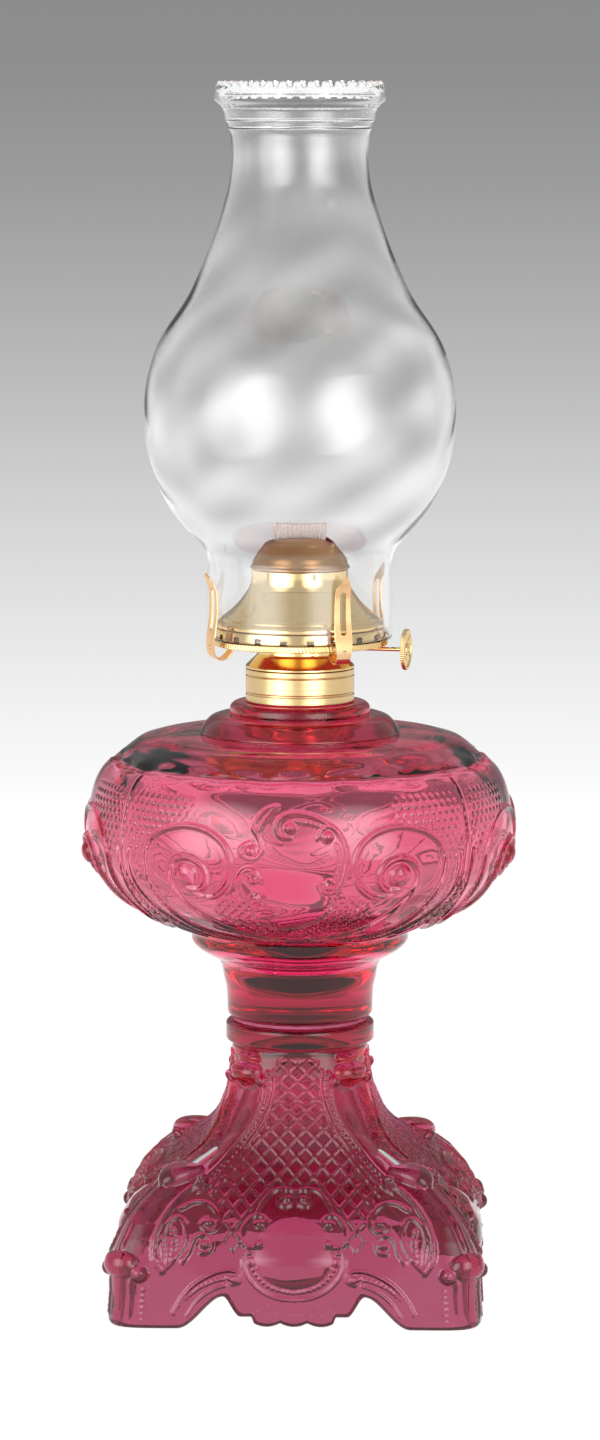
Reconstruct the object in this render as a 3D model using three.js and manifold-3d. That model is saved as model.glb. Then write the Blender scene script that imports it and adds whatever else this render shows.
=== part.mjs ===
// A pressed-glass oil lamp: a square pedestal base and a round font of stained glass, a brass flat-wick
// burner in a cemented collar, and a clear chimney held by four spring prongs.
// Millimetres, +Z up. The origin is on the lamp's axis, in the plane that the four feet stand on.
import * as THREE from "three";
import { mergeVertices } from "three/addons/utils/BufferGeometryUtils.js";
import Module from "manifold-3d";

const wasm = await Module();
wasm.setup();

// ---------- driving dimensions ----------

const GAP = 0.3; // clearance kept between pieces that touch
const UP = Math.PI / 2;

// Heights of the joints between the main pieces.
const BASE_TOP = 113.9;
const FONT_BOTTOM = 115.7;
const COLLAR_SEAT = 246.5;
const COLLAR_TOP = 260.3;
const GALLERY_FLOOR = 270;
const CHIMNEY_SEAT = 273.1;
const LAMP_TOP = 500;

// How many flat sides stand for a full turn.
const BASE_SIDES = 40;
const GLASS_SIDES = 28;
const BRASS_SIDES = 28;
const SMALL_SIDES = 20;

// Glass base.
const BASE_WALL = 4.5;
const WALL_TAPER = 0.02; // how much thicker the wall gets with height
const HOLLOW_TOP = 101;
const FOOT_END = 48; // where a foot's flat underside ends, from the middle of a face
const ARCH_HALF = 9.5; // half the width of the arch beside a foot
const ARCH_TOP = 13;
const APRON_HALF = 19; // half the width of the lobed apron between two arches
const APRON_STEP = 5.4; // height of the apron's square ends
const LOBE_RADIUS = 5.8;
const LOBE_RISE = 1; // how far the apron's lobes hang above the ground

// Glass font.
const NECK_OUTER = 19.8;
const NECK_BORE = 16.6;
const NECK_TOP = 256.2;

// Clear chimney.
const FITTER_RADIUS = 38;
const CHIMNEY_WALL = 2.2;

// Brass collar and burner.
const COLLAR_RADIUS = 22.4;
const SHEET = 0.7; // thickness of the burner's stamped brass
const THREAD_RADIUS = 15.8;
const BURNER_NECK = 17.3;
const BURNER_FLOOR = 261.9;
const BURNER_FLOOR_RADIUS = 19;
const GALLERY_RADIUS = 36.2;
const GALLERY_WALL_RADIUS = 34.6;
const GALLERY_WALL_TOP = 277.3;
const VENTS = 20;
const VENT_WIDTH = 3.3;
const VENT_HEIGHT = 1.7;
const VENT_LEVEL = 274.7;
const AIR_PLATE = 278;
const AIR_PLATE_RADIUS = 33;
const AIR_PLATE_THICKNESS = 0.6;
const AIR_HOLE_RADIUS = 1.5;
const AIR_HOLE_ROWS = [
  { radius: 20, count: 12 },
  { radius: 27, count: 16 },
];
const DOME_FOOT = 301.5;
const DOME_TOP = 314;
const FLAME_SLOT_LENGTH = 27;
const FLAME_SLOT_WIDTH = 7;

// Wick, wick tube and winder. Their common direction is this far round from +X.
const WICK_ANGLE = THREE.MathUtils.degToRad(-11);
const WICK_WIDTH = 22.2;
const WICK_THICKNESS = 2;
const WICK_TOP = 320.3;
const WICK_END = 232;
const TUBE_WIDTH = 24.4;
const TUBE_THICKNESS = 3.8;
const TUBE_WALL = 0.5;
const TUBE_BOTTOM = 250.5;
const TUBE_TOP = 309.5;
const SHAFT_HEIGHT = 268.3;
const SHAFT_RADIUS = 0.85;
const WHEEL_RADIUS = 3.4;
const WHEEL_THICKNESS = 1.2;
const WHEEL_SPACING = 11;
const WHEEL_TEETH = 10;
const TOOTH_ROOT = 0.74; // radius at the bottom of a tooth, over the wheel's radius
const SHAFT_OFFSET = WICK_THICKNESS / 2 + GAP + WHEEL_RADIUS;
const SHAFT_INNER_END = -9;
const SLEEVE_INNER_END = 14.4;
const SLEEVE_OUTER_END = 20.4;
const SLEEVE_BORE = 1.1;
const SLEEVE_RADIUS = 1.5;
const KNOB_REACH = 42.6; // from the lamp's axis to the knob's inner face
const KNOB_RADIUS = 8.4;

// Spring prongs.
const PRONG_ANGLES = [-62, 34, 118, 208]; // degrees round from +X, anticlockwise, as bent by hand
const PRONG_WIDTH = 8.4;
const PRONG_THICKNESS = 0.6;
const PRONG_HOLE_RADIUS = 0.8;

// ---------- finishes ----------

const material = (color, roughness, metalness) =>
  new THREE.MeshStandardMaterial({ color, roughness, metalness });
const CRANBERRY = [0xa82a5c, 0.08, 0];
const CLEAR = [0xe8eded, 0.04, 0];
const POLISHED_BRASS = [0xd9ad55, 0.2, 1];
const SPRING_BRASS = [0xd69a58, 0.2, 1];
const SATIN_BRASS = [0xd8bd72, 0.38, 1];
const COTTON = [0xeee6df, 0.95, 0];
const CEMENT = [0xcfc7b8, 0.9, 0];

// ---------- shape helpers ----------

const point = ([x, y]) => new THREE.Vector2(x, y);

// A smooth line through a few points, as evenly spaced points.
function smooth(points, pieces) {
  return new THREE.SplineCurve(points.map(point)).getSpacedPoints(pieces).map((p) => [p.x, p.y]);
}

// The same line moved sideways, to the left of its direction.
function beside(points, distance) {
  return points.map(([x, y], i) => {
    const [ax, ay] = points[Math.max(i - 1, 0)];
    const [bx, by] = points[Math.min(i + 1, points.length - 1)];
    const length = Math.hypot(bx - ax, by - ay);
    return [x - ((by - ay) / length) * distance, y + ((bx - ax) / length) * distance];
  });
}

// A profile of [radius, height] pairs turned round the Z axis.
function turned(profile, sides) {
  return new THREE.LatheGeometry(profile.map(point), sides).rotateX(UP);
}

// The same for a ring, whose profile closes on itself.
function turnedRing(profile, sides) {
  return turned([...profile, profile[0]], sides);
}

// An outline in the XY plane raised along Z.
function raised(shape, bottom, top, curveSegments = 6) {
  return new THREE.ExtrudeGeometry(shape, {
    depth: top - bottom,
    bevelEnabled: false,
    curveSegments,
  }).translate(0, 0, bottom);
}

// A straight slot with round ends, along X, as a Shape or as a Path.
function slot(Outline, length, width) {
  const half = (length - width) / 2;
  const outline = new Outline();
  outline.absarc(half, 0, width / 2, -UP, UP, false);
  outline.absarc(-half, 0, width / 2, UP, 3 * UP, false);
  outline.closePath();
  return outline;
}

function circle(Outline, x, y, radius) {
  return new Outline().absarc(x, y, radius, 0, 2 * Math.PI, false);
}

function solid(geometry) {
  const bare = geometry.clone();
  bare.deleteAttribute("normal");
  bare.deleteAttribute("uv");
  const merged = mergeVertices(bare, 1e-3);
  return new wasm.Manifold(
    new wasm.Mesh({
      numProp: 3,
      vertProperties: new Float32Array(merged.attributes.position.array),
      triVerts: new Uint32Array(merged.index.array),
    }),
  );
}

function geometryOf(manifold) {
  const mesh = manifold.getMesh();
  const geometry = new THREE.BufferGeometry();
  geometry.setAttribute("position", new THREE.BufferAttribute(mesh.vertProperties, 3));
  geometry.setIndex(new THREE.BufferAttribute(mesh.triVerts, 1));
  geometry.computeVertexNormals();
  return geometry;
}

const lamp = new THREE.Group();

function place(name, geometry, finish, parent = lamp) {
  const mesh = new THREE.Mesh(geometry, material(...finish));
  mesh.name = name;
  parent.add(mesh);
  return mesh;
}

// ---------- glass base ----------

// Height, half-width across the faces, and how far a leg's corner reaches along X and along Y.
const BASE_LEVELS = [
  [0, 75.8, 72.6],
  [14, 74.8, 71.6],
  [28, 73.2, 71.6],
  [35.5, 68.8, 68.2],
  [41.5, 63.4, 65.5],
  [47.5, 56.4, 61],
  [54.5, 47.5, 53.5],
  [61.5, 41, 44.5],
  [66, 37.2, 36.5],
  [73, 33.6, 29.8],
  [84, 30, 22.6],
  [98, 28.1, 19.9],
];

// The corner's reach over the face's half-width at a height: a circle has 1 over root 2, a square 1.
function squareness(height) {
  const above = BASE_LEVELS.findIndex(([z]) => z >= height);
  if (above < 0) return Math.SQRT1_2;
  const [z1, face1, corner1] = BASE_LEVELS[above];
  const [z0, face0, corner0] = BASE_LEVELS[Math.max(above - 1, 0)];
  const share = z1 > z0 ? (height - z0) / (z1 - z0) : 0;
  return THREE.MathUtils.lerp(corner0 / face0, corner1 / face1, share);
}

// The plan's radius in one direction for a face half-width of 1. It is a superellipse up to a nearly
// square plan, and past that the four corners are drawn out into legs.
function planRadius(angle, square) {
  const SQUAREST = 0.95;
  const power = -Math.LN2 / Math.log(Math.min(square, SQUAREST));
  const sum = Math.abs(Math.cos(angle)) ** power + Math.abs(Math.sin(angle)) ** power;
  const leg = Math.max(square / SQUAREST - 1, 0) * Math.sin(2 * angle) ** 8;
  return sum ** (-1 / power) * (1 + leg);
}

function bentToPlan(geometry) {
  const places = geometry.attributes.position;
  for (let i = 0; i < places.count; i += 1) {
    const [x, y, z] = [places.getX(i), places.getY(i), places.getZ(i)];
    const stretch = planRadius(Math.atan2(y, x), Math.max(squareness(z), Math.SQRT1_2));
    places.setXYZ(i, x * stretch, y * stretch, z);
  }
  return geometry;
}

// What is cut away under one face, between two feet: an arch beside each foot and three lobes between.
function footCut() {
  const peak = FOOT_END - 2 * ARCH_HALF;
  const cut = new THREE.Shape();
  cut.moveTo(-FOOT_END, -1);
  cut.lineTo(-FOOT_END, 0.2);
  cut.bezierCurveTo(-FOOT_END + 7, 2, -peak - 6, ARCH_TOP, -peak, ARCH_TOP);
  cut.bezierCurveTo(-peak + 4, ARCH_TOP, -APRON_HALF - 2, APRON_STEP + 1, -APRON_HALF, APRON_STEP);
  for (const middle of [-2, 0, 2]) {
    const x = middle * LOBE_RADIUS;
    cut.quadraticCurveTo(x - LOBE_RADIUS, LOBE_RISE, x, LOBE_RISE);
    cut.quadraticCurveTo(x + LOBE_RADIUS * 0.8, LOBE_RISE, x + LOBE_RADIUS, LOBE_RISE + 1.6);
  }
  cut.lineTo(APRON_HALF, APRON_STEP);
  cut.bezierCurveTo(APRON_HALF + 2, APRON_STEP + 1, peak - 4, ARCH_TOP, peak, ARCH_TOP);
  cut.bezierCurveTo(peak + 6, ARCH_TOP, FOOT_END - 7, 2, FOOT_END, 0.2);
  cut.lineTo(FOOT_END, -1);
  const reach = 90;
  return raised(cut, -reach, reach, 3).rotateX(UP);
}

function glassBase() {
  const outside = BASE_LEVELS.map(([z, face]) => [face, z]);
  const inside = BASE_LEVELS.filter(([z]) => z < HOLLOW_TOP - 8).map(([z, face]) => [
    face - BASE_WALL - z * WALL_TAPER,
    z,
  ]);
  const topRing = [
    [28, 104.6],
    [29.8, 105.3],
    [30.7, 107.2],
    [30.7, 111.6],
    [29.6, BASE_TOP - 0.3],
    [28.6, BASE_TOP],
    [0, BASE_TOP],
  ];
  const hollowEnd = [
    [0, HOLLOW_TOP],
    [16, HOLLOW_TOP - 2],
    [21.5, HOLLOW_TOP - 6],
  ];
  const profile = [...hollowEnd, ...inside.reverse(), ...outside, ...topRing];
  const body = solid(bentToPlan(turned(profile, BASE_SIDES)));
  const cut = footCut();
  return geometryOf(body.subtract(solid(cut)).subtract(solid(cut.clone().rotateZ(UP))));
}

place("glass_base", glassBase(), CRANBERRY);

function jointCement() {
  const [bottom, top] = [BASE_TOP + GAP, FONT_BOTTOM - GAP];
  const disc = new THREE.CylinderGeometry(28.4, 28.4, top - bottom, SMALL_SIDES);
  return disc.rotateX(UP).translate(0, 0, (bottom + top) / 2);
}

place("joint_cement", jointCement(), CEMENT);

// ---------- glass font ----------

function glassFont() {
  const stem = [
    [0, FONT_BOTTOM],
    [28.8, FONT_BOTTOM],
    [29.9, 117],
    [30.3, 126],
    [31.8, 135],
    [34.6, 140.4],
    [41, 144.2],
    [44.8, 147.4],
    [44.8, 151],
  ];
  const bowl = smooth(
    [
      [47, 152.6],
      [60.7, 158],
      [75.1, 168.1],
      [84, 178.6],
      [88.5, 193.5],
      [87.3, 204],
      [84.6, 214],
      [80, 220.6],
    ],
    10,
  );
  const shoulder = [
    [74.2, 223],
    [70.4, 228.4],
    [66, 231.4],
    [56, 233.2],
    [41, 233.2],
    [39.6, 236.6],
    [35.4, 240.8],
    [30, 241.4],
  ];
  const flange = [
    [28.8, 242.6],
    [28.8, 244.6],
    [27.2, COLLAR_SEAT],
    [NECK_OUTER, COLLAR_SEAT],
    [NECK_OUTER, NECK_TOP],
    [NECK_BORE, NECK_TOP],
    [NECK_BORE, 241],
    [21, 238],
    [37, 229.4],
  ];
  const inside = smooth(
    [
      [56, 228.8],
      [69, 223.6],
      [80.4, 211],
      [84, 196],
      [80.5, 181],
      [70, 169.6],
      [54, 161],
      [32, 152.6],
    ],
    9,
  );
  const well = [
    [23, 144],
    [21, 128],
    [0, 125],
  ];
  return turned([...stem, ...bowl, ...shoulder, ...flange, ...inside, ...well], GLASS_SIDES);
}

place("glass_font", glassFont(), CRANBERRY);

// ---------- collar ----------

const COLLAR_INSIDE = COLLAR_RADIUS - 0.9;

// A cap over the font's neck, whose thick top takes the burner's thread.
function brassCollar() {
  const foot = COLLAR_SEAT + GAP;
  const threadFoot = NECK_TOP + 0.6;
  const threadRoom = THREAD_RADIUS + 0.4;
  const profile = [
    [COLLAR_INSIDE, foot],
    [COLLAR_RADIUS, foot],
    [COLLAR_RADIUS, COLLAR_TOP - 0.6],
    [COLLAR_RADIUS - 0.6, COLLAR_TOP],
    [threadRoom, COLLAR_TOP],
    [threadRoom, threadFoot],
    [COLLAR_INSIDE, threadFoot],
  ];
  return turnedRing(profile, BRASS_SIDES);
}

function collarCement() {
  const [inner, outer] = [NECK_OUTER + GAP, COLLAR_INSIDE - GAP];
  const [foot, top] = [COLLAR_SEAT + 0.7, NECK_TOP - 0.6];
  const profile = [
    [inner, foot],
    [outer, foot],
    [outer, top],
    [inner, top],
  ];
  return turnedRing(profile, SMALL_SIDES);
}

place("brass_collar", brassCollar(), SATIN_BRASS);
place("collar_cement", collarCement(), CEMENT);

// ---------- burner body ----------

// The wick, its tube and the winder lie in this group's XZ plane.
const wickFrame = new THREE.Group();
wickFrame.rotation.z = WICK_ANGLE;
lamp.add(wickFrame);

// A bar of round section along X.
function bar(radius, from, to, sides) {
  const shape = new THREE.CylinderGeometry(radius, radius, to - from, sides).rotateZ(UP);
  return shape.translate((from + to) / 2, 0, 0);
}

function burnerBody() {
  const bottom = 249.5;
  const shoulderFoot = COLLAR_TOP + GAP;
  const top = GALLERY_FLOOR - GAP;
  const shell = turnedRing(
    [
      [THREAD_RADIUS - SHEET, bottom],
      [THREAD_RADIUS, bottom],
      [THREAD_RADIUS, shoulderFoot],
      [COLLAR_RADIUS - 0.1, shoulderFoot],
      [COLLAR_RADIUS, shoulderFoot + 0.8],
      [17.8, 265.8],
      [BURNER_NECK, 266.4],
      [BURNER_NECK, top],
      [BURNER_NECK - SHEET, top],
      [BURNER_NECK - SHEET, 265.9],
      [COLLAR_RADIUS - 1.5, shoulderFoot + SHEET],
      [THREAD_RADIUS - SHEET, shoulderFoot + SHEET],
    ],
    BRASS_SIDES,
  );
  const shaftNotch = bar(SLEEVE_RADIUS + GAP, 12, 20, 10).translate(0, SHAFT_OFFSET, SHAFT_HEIGHT);
  return geometryOf(solid(shell).subtract(solid(shaftNotch.rotateZ(WICK_ANGLE))));
}

function burnerFloor() {
  const disc = circle(THREE.Shape, 0, 0, BURNER_FLOOR_RADIUS);
  disc.holes.push(slot(THREE.Path, TUBE_WIDTH + 2 * GAP, TUBE_THICKNESS + 2 * GAP));
  return raised(disc, BURNER_FLOOR, BURNER_FLOOR + SHEET, 12);
}

// The seat of the chimney: a pan whose upright wall is pierced by a row of vents.
function galleryRing() {
  const wallFoot = GALLERY_WALL_RADIUS + 0.6;
  const pan = turnedRing(
    [
      [BURNER_NECK + GAP, GALLERY_FLOOR],
      [GALLERY_RADIUS - 0.3, GALLERY_FLOOR],
      [GALLERY_RADIUS, GALLERY_FLOOR + 0.4],
      [GALLERY_RADIUS, GALLERY_FLOOR + 2.5],
      [GALLERY_RADIUS - 0.4, GALLERY_FLOOR + 2.8],
      [wallFoot, GALLERY_FLOOR + 2.8],
      [GALLERY_WALL_RADIUS, GALLERY_WALL_TOP],
      [GALLERY_WALL_RADIUS - SHEET, GALLERY_WALL_TOP],
      [wallFoot - SHEET, GALLERY_FLOOR + SHEET],
      [BURNER_NECK + GAP, GALLERY_FLOOR + SHEET],
    ],
    VENTS,
  );
  let ring = solid(pan);
  const [depth, reach] = [GALLERY_WALL_RADIUS - 1.6, GALLERY_WALL_RADIUS + 1.9];
  for (let i = 0; i < VENTS; i += 1) {
    const vent = raised(slot(THREE.Shape, VENT_WIDTH, VENT_HEIGHT), depth, reach, 2).rotateX(UP);
    vent.translate(0, 0, VENT_LEVEL).rotateZ(((i + 0.5) * 2 * Math.PI) / VENTS);
    ring = ring.subtract(solid(vent));
  }
  return geometryOf(ring);
}

// The perforated plate that spreads the draught under the flame.
function airPlate() {
  const disc = circle(THREE.Shape, 0, 0, AIR_PLATE_RADIUS);
  disc.holes.push(slot(THREE.Path, TUBE_WIDTH + 2 * GAP, TUBE_THICKNESS + 2 * GAP));
  for (const { radius, count } of AIR_HOLE_ROWS) {
    for (let i = 0; i < count; i += 1) {
      const angle = (i * 2 * Math.PI) / count;
      const [x, y] = [radius * Math.cos(angle), radius * Math.sin(angle)];
      disc.holes.push(circle(THREE.Path, x, y, AIR_HOLE_RADIUS));
    }
  }
  return raised(disc, AIR_PLATE, AIR_PLATE + AIR_PLATE_THICKNESS, 3);
}

const SKIRT_LINE = [
  [34.4, GALLERY_WALL_TOP + GAP],
  [34.4, 279.2],
  [33.4, 280.5],
  [32.4, 280.8],
  [31.6, 282],
  [29, 283.7],
  [24.2, 288.5],
  [21.6, 292.3],
  [19.8, 297],
  [19.7, DOME_FOOT - GAP],
];

const DOME_LINE = [
  [20.1, DOME_FOOT],
  [20.1, DOME_FOOT + 0.8],
  [19, 304.6],
  [17.6, 308.6],
  [15.2, 311.4],
  [11.4, 313.2],
];

function deflectorSkirt() {
  const inner = beside(SKIRT_LINE, SHEET).reverse();
  return turnedRing([...SKIRT_LINE, ...inner], BRASS_SIDES);
}

function deflectorDome() {
  const inner = beside(DOME_LINE, SHEET).reverse();
  const shell = turned([[0, DOME_TOP - SHEET], ...inner, ...DOME_LINE, [0, DOME_TOP]], BRASS_SIDES);
  const outline = slot(THREE.Shape, FLAME_SLOT_LENGTH, FLAME_SLOT_WIDTH);
  const flameSlot = raised(outline, DOME_FOOT + 3.5, DOME_TOP + 6).rotateZ(WICK_ANGLE);
  return geometryOf(solid(shell).subtract(solid(flameSlot)));
}

place("burner_body", burnerBody(), POLISHED_BRASS);
place("burner_floor", burnerFloor(), POLISHED_BRASS, wickFrame);
place("gallery_ring", galleryRing(), POLISHED_BRASS);
place("air_plate", airPlate(), POLISHED_BRASS, wickFrame);
place("deflector_skirt", deflectorSkirt(), POLISHED_BRASS);
place("deflector_dome", deflectorDome(), POLISHED_BRASS);

// ---------- wick, tube and winder ----------

function wickTube() {
  const outline = slot(THREE.Shape, TUBE_WIDTH, TUBE_THICKNESS);
  outline.holes.push(slot(THREE.Path, TUBE_WIDTH - 2 * TUBE_WALL, TUBE_THICKNESS - 2 * TUBE_WALL));
  let tube = solid(raised(outline, TUBE_BOTTOM, TUBE_TOP, 3));
  for (const side of [-1, 1]) {
    const window = new THREE.BoxGeometry(2 * WHEEL_THICKNESS, 3, 2 * WHEEL_RADIUS);
    window.translate((side * WHEEL_SPACING) / 2, TUBE_THICKNESS / 2, SHAFT_HEIGHT);
    tube = tube.subtract(solid(window));
  }
  return geometryOf(tube);
}

// A toothed wheel on the YZ plane, with its bore along X.
function spurWheel() {
  const outline = new THREE.Shape();
  const step = Math.PI / WHEEL_TEETH;
  for (let i = 0; i < 2 * WHEEL_TEETH; i += 1) {
    const radius = i % 2 ? WHEEL_RADIUS * TOOTH_ROOT : WHEEL_RADIUS;
    const [x, y] = [radius * Math.cos(i * step), radius * Math.sin(i * step)];
    if (i) outline.lineTo(x, y);
    else outline.moveTo(x, y);
  }
  outline.closePath();
  outline.holes.push(circle(THREE.Path, 0, 0, SHAFT_RADIUS + GAP));
  return raised(outline, -WHEEL_THICKNESS / 2, WHEEL_THICKNESS / 2, 3).rotateY(UP);
}

// A coined disc with a rim and a hub, turned round X.
function winderKnob() {
  const bore = SHAFT_RADIUS + GAP;
  const profile = [
    [bore, -1.2],
    [2.6, -1.2],
    [3, 0.1],
    [KNOB_RADIUS - 0.9, 0.1],
    [KNOB_RADIUS, 0.3],
    [KNOB_RADIUS, 1.7],
    [KNOB_RADIUS - 0.9, 1.9],
    [KNOB_RADIUS - 1.4, 1.2],
    [2.6, 1.2],
    [2, 2],
    [bore, 2],
  ];
  return turnedRing(profile, SMALL_SIDES).rotateY(UP);
}

place("wick_tube", wickTube(), POLISHED_BRASS, wickFrame);
const wick = raised(slot(THREE.Shape, WICK_WIDTH, WICK_THICKNESS), WICK_END, WICK_TOP, 3);
place("wick", wick, COTTON, wickFrame);

const winder = new THREE.Group();
winder.position.set(0, SHAFT_OFFSET, SHAFT_HEIGHT);
wickFrame.add(winder);

function shaftSleeve() {
  const profile = [
    [SLEEVE_BORE, SLEEVE_INNER_END],
    [SLEEVE_RADIUS, SLEEVE_INNER_END],
    [SLEEVE_RADIUS, SLEEVE_OUTER_END],
    [SLEEVE_BORE, SLEEVE_OUTER_END],
  ];
  return turnedRing(profile, 12).rotateY(UP);
}

const winderShaft = bar(SHAFT_RADIUS, SHAFT_INNER_END, KNOB_REACH + 1.7, 10);
place("winder_shaft", winderShaft, POLISHED_BRASS, winder);
place("spur_wheel_inner", spurWheel(), POLISHED_BRASS, winder).position.x = -WHEEL_SPACING / 2;
place("spur_wheel_outer", spurWheel(), POLISHED_BRASS, winder).position.x = WHEEL_SPACING / 2;
place("winder_knob", winderKnob(), POLISHED_BRASS, winder).position.x = KNOB_REACH;
place("shaft_sleeve", shaftSleeve(), POLISHED_BRASS, winder);

// ---------- chimney prongs ----------

// A prong's line from its tip down, round under the gallery and in to where it is held.
const PRONG_LINE = [
  [42.6, 301.4],
  [40.4, 297.6],
  [38.9, 292.5],
  [38.7, 288],
  [39.3, 281],
  [40.3, 274],
  [40.2, 269.5],
  [37.9, 266.2],
  [34.6, 266.6],
  [31.6, 269],
];

// Its face, flattened: a pointed tip, a long slot between two legs, and a small hole low down.
function prongFace() {
  const half = PRONG_WIDTH / 2;
  const face = new THREE.Shape();
  face.moveTo(-half, 262);
  face.lineTo(half, 262);
  face.lineTo(half, 276);
  face.lineTo(half - 0.5, 294);
  face.lineTo(half - 1.6, 297.6);
  face.lineTo(0.3, 302);
  face.lineTo(-0.3, 302);
  face.lineTo(-half + 1.6, 297.6);
  face.lineTo(-half + 0.5, 294);
  face.lineTo(-half, 276);
  face.closePath();
  const legSlot = new THREE.Path();
  legSlot.absarc(0, 294, 1.3, 0, 2 * UP, false);
  legSlot.absarc(0, 278.4, 1.6, 2 * UP, 4 * UP, false);
  legSlot.closePath();
  face.holes.push(legSlot);
  face.holes.push(circle(THREE.Path, 0, 270.6, PRONG_HOLE_RADIUS));
  return raised(face, 30, 46, 3).rotateX(UP).rotateZ(UP);
}

function prong() {
  const line = smooth(PRONG_LINE, 15);
  const back = beside(line, PRONG_THICKNESS).reverse();
  const strip = new THREE.Shape([...line, ...back].map(point));
  const bent = raised(strip, -PRONG_WIDTH, PRONG_WIDTH).rotateX(UP);
  return geometryOf(solid(bent).intersect(solid(prongFace())));
}

const prongShape = prong();
PRONG_ANGLES.forEach((angle, i) => {
  const mesh = place(`prong_${i + 1}`, prongShape.clone(), SPRING_BRASS);
  mesh.rotation.z = THREE.MathUtils.degToRad(angle);
});

// ---------- chimney ----------

function chimney() {
  const fitter = [
    [FITTER_RADIUS, CHIMNEY_SEAT],
    [FITTER_RADIUS, 304],
  ];
  const bulge = smooth(
    [
      [38.4, 308.4],
      [45.8, 316.6],
      [57, 333.2],
      [64, 362],
      [60.8, 386.4],
      [48.5, 408.3],
      [37.2, 431.5],
      [28.9, 457.4],
      [27.7, 469],
    ],
    11,
  );
  const outer = [...fitter, ...bulge, [28.2, 478.5], [30.2, 484], [31.2, 488.6]];
  const lip = [
    [34.6, 490.4],
    [35.4, 494],
    [34.4, 498],
    [33, LAMP_TOP],
    [31, LAMP_TOP],
    [29.2, 495],
  ];
  const inner = beside(outer, CHIMNEY_WALL).reverse();
  return turnedRing([...outer, ...lip, ...inner], GLASS_SIDES);
}

place("chimney", chimney(), CLEAR);

export default lamp;
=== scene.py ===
"""An oil lamp of stained pressed glass with a brass flat-wick burner and a clear chimney.

Shapes are worked out in millimetres in the lamp's own frame: +Z up, the front along -Y, and the origin
on the axis at the feet. They become metres when a mesh is made. The heights where the glass parts, the
collar, the gallery and the wick start or end are read from the CAD frame.
"""
import math

import bpy
import numpy as np
from mathutils import Matrix, Vector
from mathutils.kdtree import KDTree


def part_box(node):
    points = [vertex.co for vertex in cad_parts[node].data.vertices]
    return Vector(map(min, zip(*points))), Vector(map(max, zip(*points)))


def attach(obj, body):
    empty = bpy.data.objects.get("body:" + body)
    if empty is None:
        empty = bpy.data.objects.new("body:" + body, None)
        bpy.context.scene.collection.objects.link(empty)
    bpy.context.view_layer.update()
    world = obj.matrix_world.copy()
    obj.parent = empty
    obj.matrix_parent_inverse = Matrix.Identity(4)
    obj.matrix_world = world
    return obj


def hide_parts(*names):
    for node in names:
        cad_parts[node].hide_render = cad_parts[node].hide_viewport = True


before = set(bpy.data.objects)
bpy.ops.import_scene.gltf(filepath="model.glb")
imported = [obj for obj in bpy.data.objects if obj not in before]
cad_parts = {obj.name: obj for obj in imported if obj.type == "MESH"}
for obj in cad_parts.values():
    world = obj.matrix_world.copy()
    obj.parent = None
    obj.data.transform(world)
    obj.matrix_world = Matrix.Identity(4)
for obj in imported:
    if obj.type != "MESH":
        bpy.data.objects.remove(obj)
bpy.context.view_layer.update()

MM = 0.001
FULL = 2 * math.pi
FRAY_SEED = 11
rng = np.random.default_rng(FRAY_SEED)

# ---------- camera and framing ----------

CAMERA_AZIMUTH = 2.0  # degrees from the front towards +X
CAMERA_PITCH = 7.4  # degrees below the horizontal
CAMERA_DISTANCE = 2060  # along the floor, from the lamp's axis
CAMERA_HEIGHT = 506
CAMERA_LENS = 126
FLOOR_BACK = 1400  # from the lamp's axis back to the floor's far edge
FLOOR_HALF = 3000  # from the lamp's axis to the floor's other edges
FLOOR_HEIGHT = -0.3
FLOOR_GLOW = 1.02

# ---------- lines and outlines ----------


def evenly(line, step):
    """The same line with a point about every step of its length."""
    line = np.asarray(line, float)
    lengths = np.r_[0, np.cumsum(np.linalg.norm(np.diff(line, axis=0), axis=1))]
    count = max(int(round(lengths[-1] / step)), 1)
    at = np.linspace(0, lengths[-1], count + 1)
    return np.stack([np.interp(at, lengths, column) for column in line.T], axis=1)


def smooth(points, step, passes=7):
    """A smooth line through the points, its bends softened by averaging neighbours a few times."""
    points = np.asarray(points, float)
    ends = np.vstack([2 * points[0] - points[1], points, 2 * points[-1] - points[-2]])
    t = np.linspace(0, 1, 12, endpoint=False)[:, None]
    pieces = []
    for a, b, c, d in zip(ends, ends[1:], ends[2:], ends[3:]):
        bend = (2 * a - 5 * b + 4 * c - d) * t**2 + (3 * b - a - 3 * c + d) * t**3
        pieces.append(0.5 * (2 * b + (c - a) * t + bend))
    line = evenly(np.vstack([*pieces, points[-1:]]), step)
    for _ in range(passes):
        line[1:-1] = (line[:-2] + 2 * line[1:-1] + line[2:]) / 4
    return line


def filleted(points, radius, step=0.4, closed=True):
    """The outline with its corners rounded, and points added along its straight stretches."""
    points = np.asarray(points, float)
    count = len(points)
    t = np.linspace(0, 1, 6)[:, None]
    line = []
    for i, corner in enumerate(points):
        if not closed and i in (0, count - 1):
            line.append(corner[None])
            continue
        back, ahead = points[i - 1] - corner, points[(i + 1) % count] - corner
        reach = min(radius, 0.45 * np.linalg.norm(back), 0.45 * np.linalg.norm(ahead))
        start = corner + back / np.linalg.norm(back) * reach
        end = corner + ahead / np.linalg.norm(ahead) * reach
        line.append((1 - t) ** 2 * start + 2 * t * (1 - t) * corner + t**2 * end)
    line = np.vstack([*line, line[0][:1]] if closed else line)
    pieces = [evenly(pair, step) if np.ptp(pair, 0).max() > step else pair for pair in zip(line, line[1:])]
    dense = np.vstack([np.asarray(piece)[:-1] for piece in pieces] + ([] if closed else [line[-1:]]))
    return dense


def beside(line, distance):
    """The line moved sideways, to the left of its direction."""
    ahead = np.gradient(np.asarray(line, float), axis=0)
    ahead /= np.linalg.norm(ahead, axis=1, keepdims=True)
    return line + distance * np.stack([-ahead[:, 1], ahead[:, 0]], axis=1)


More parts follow.
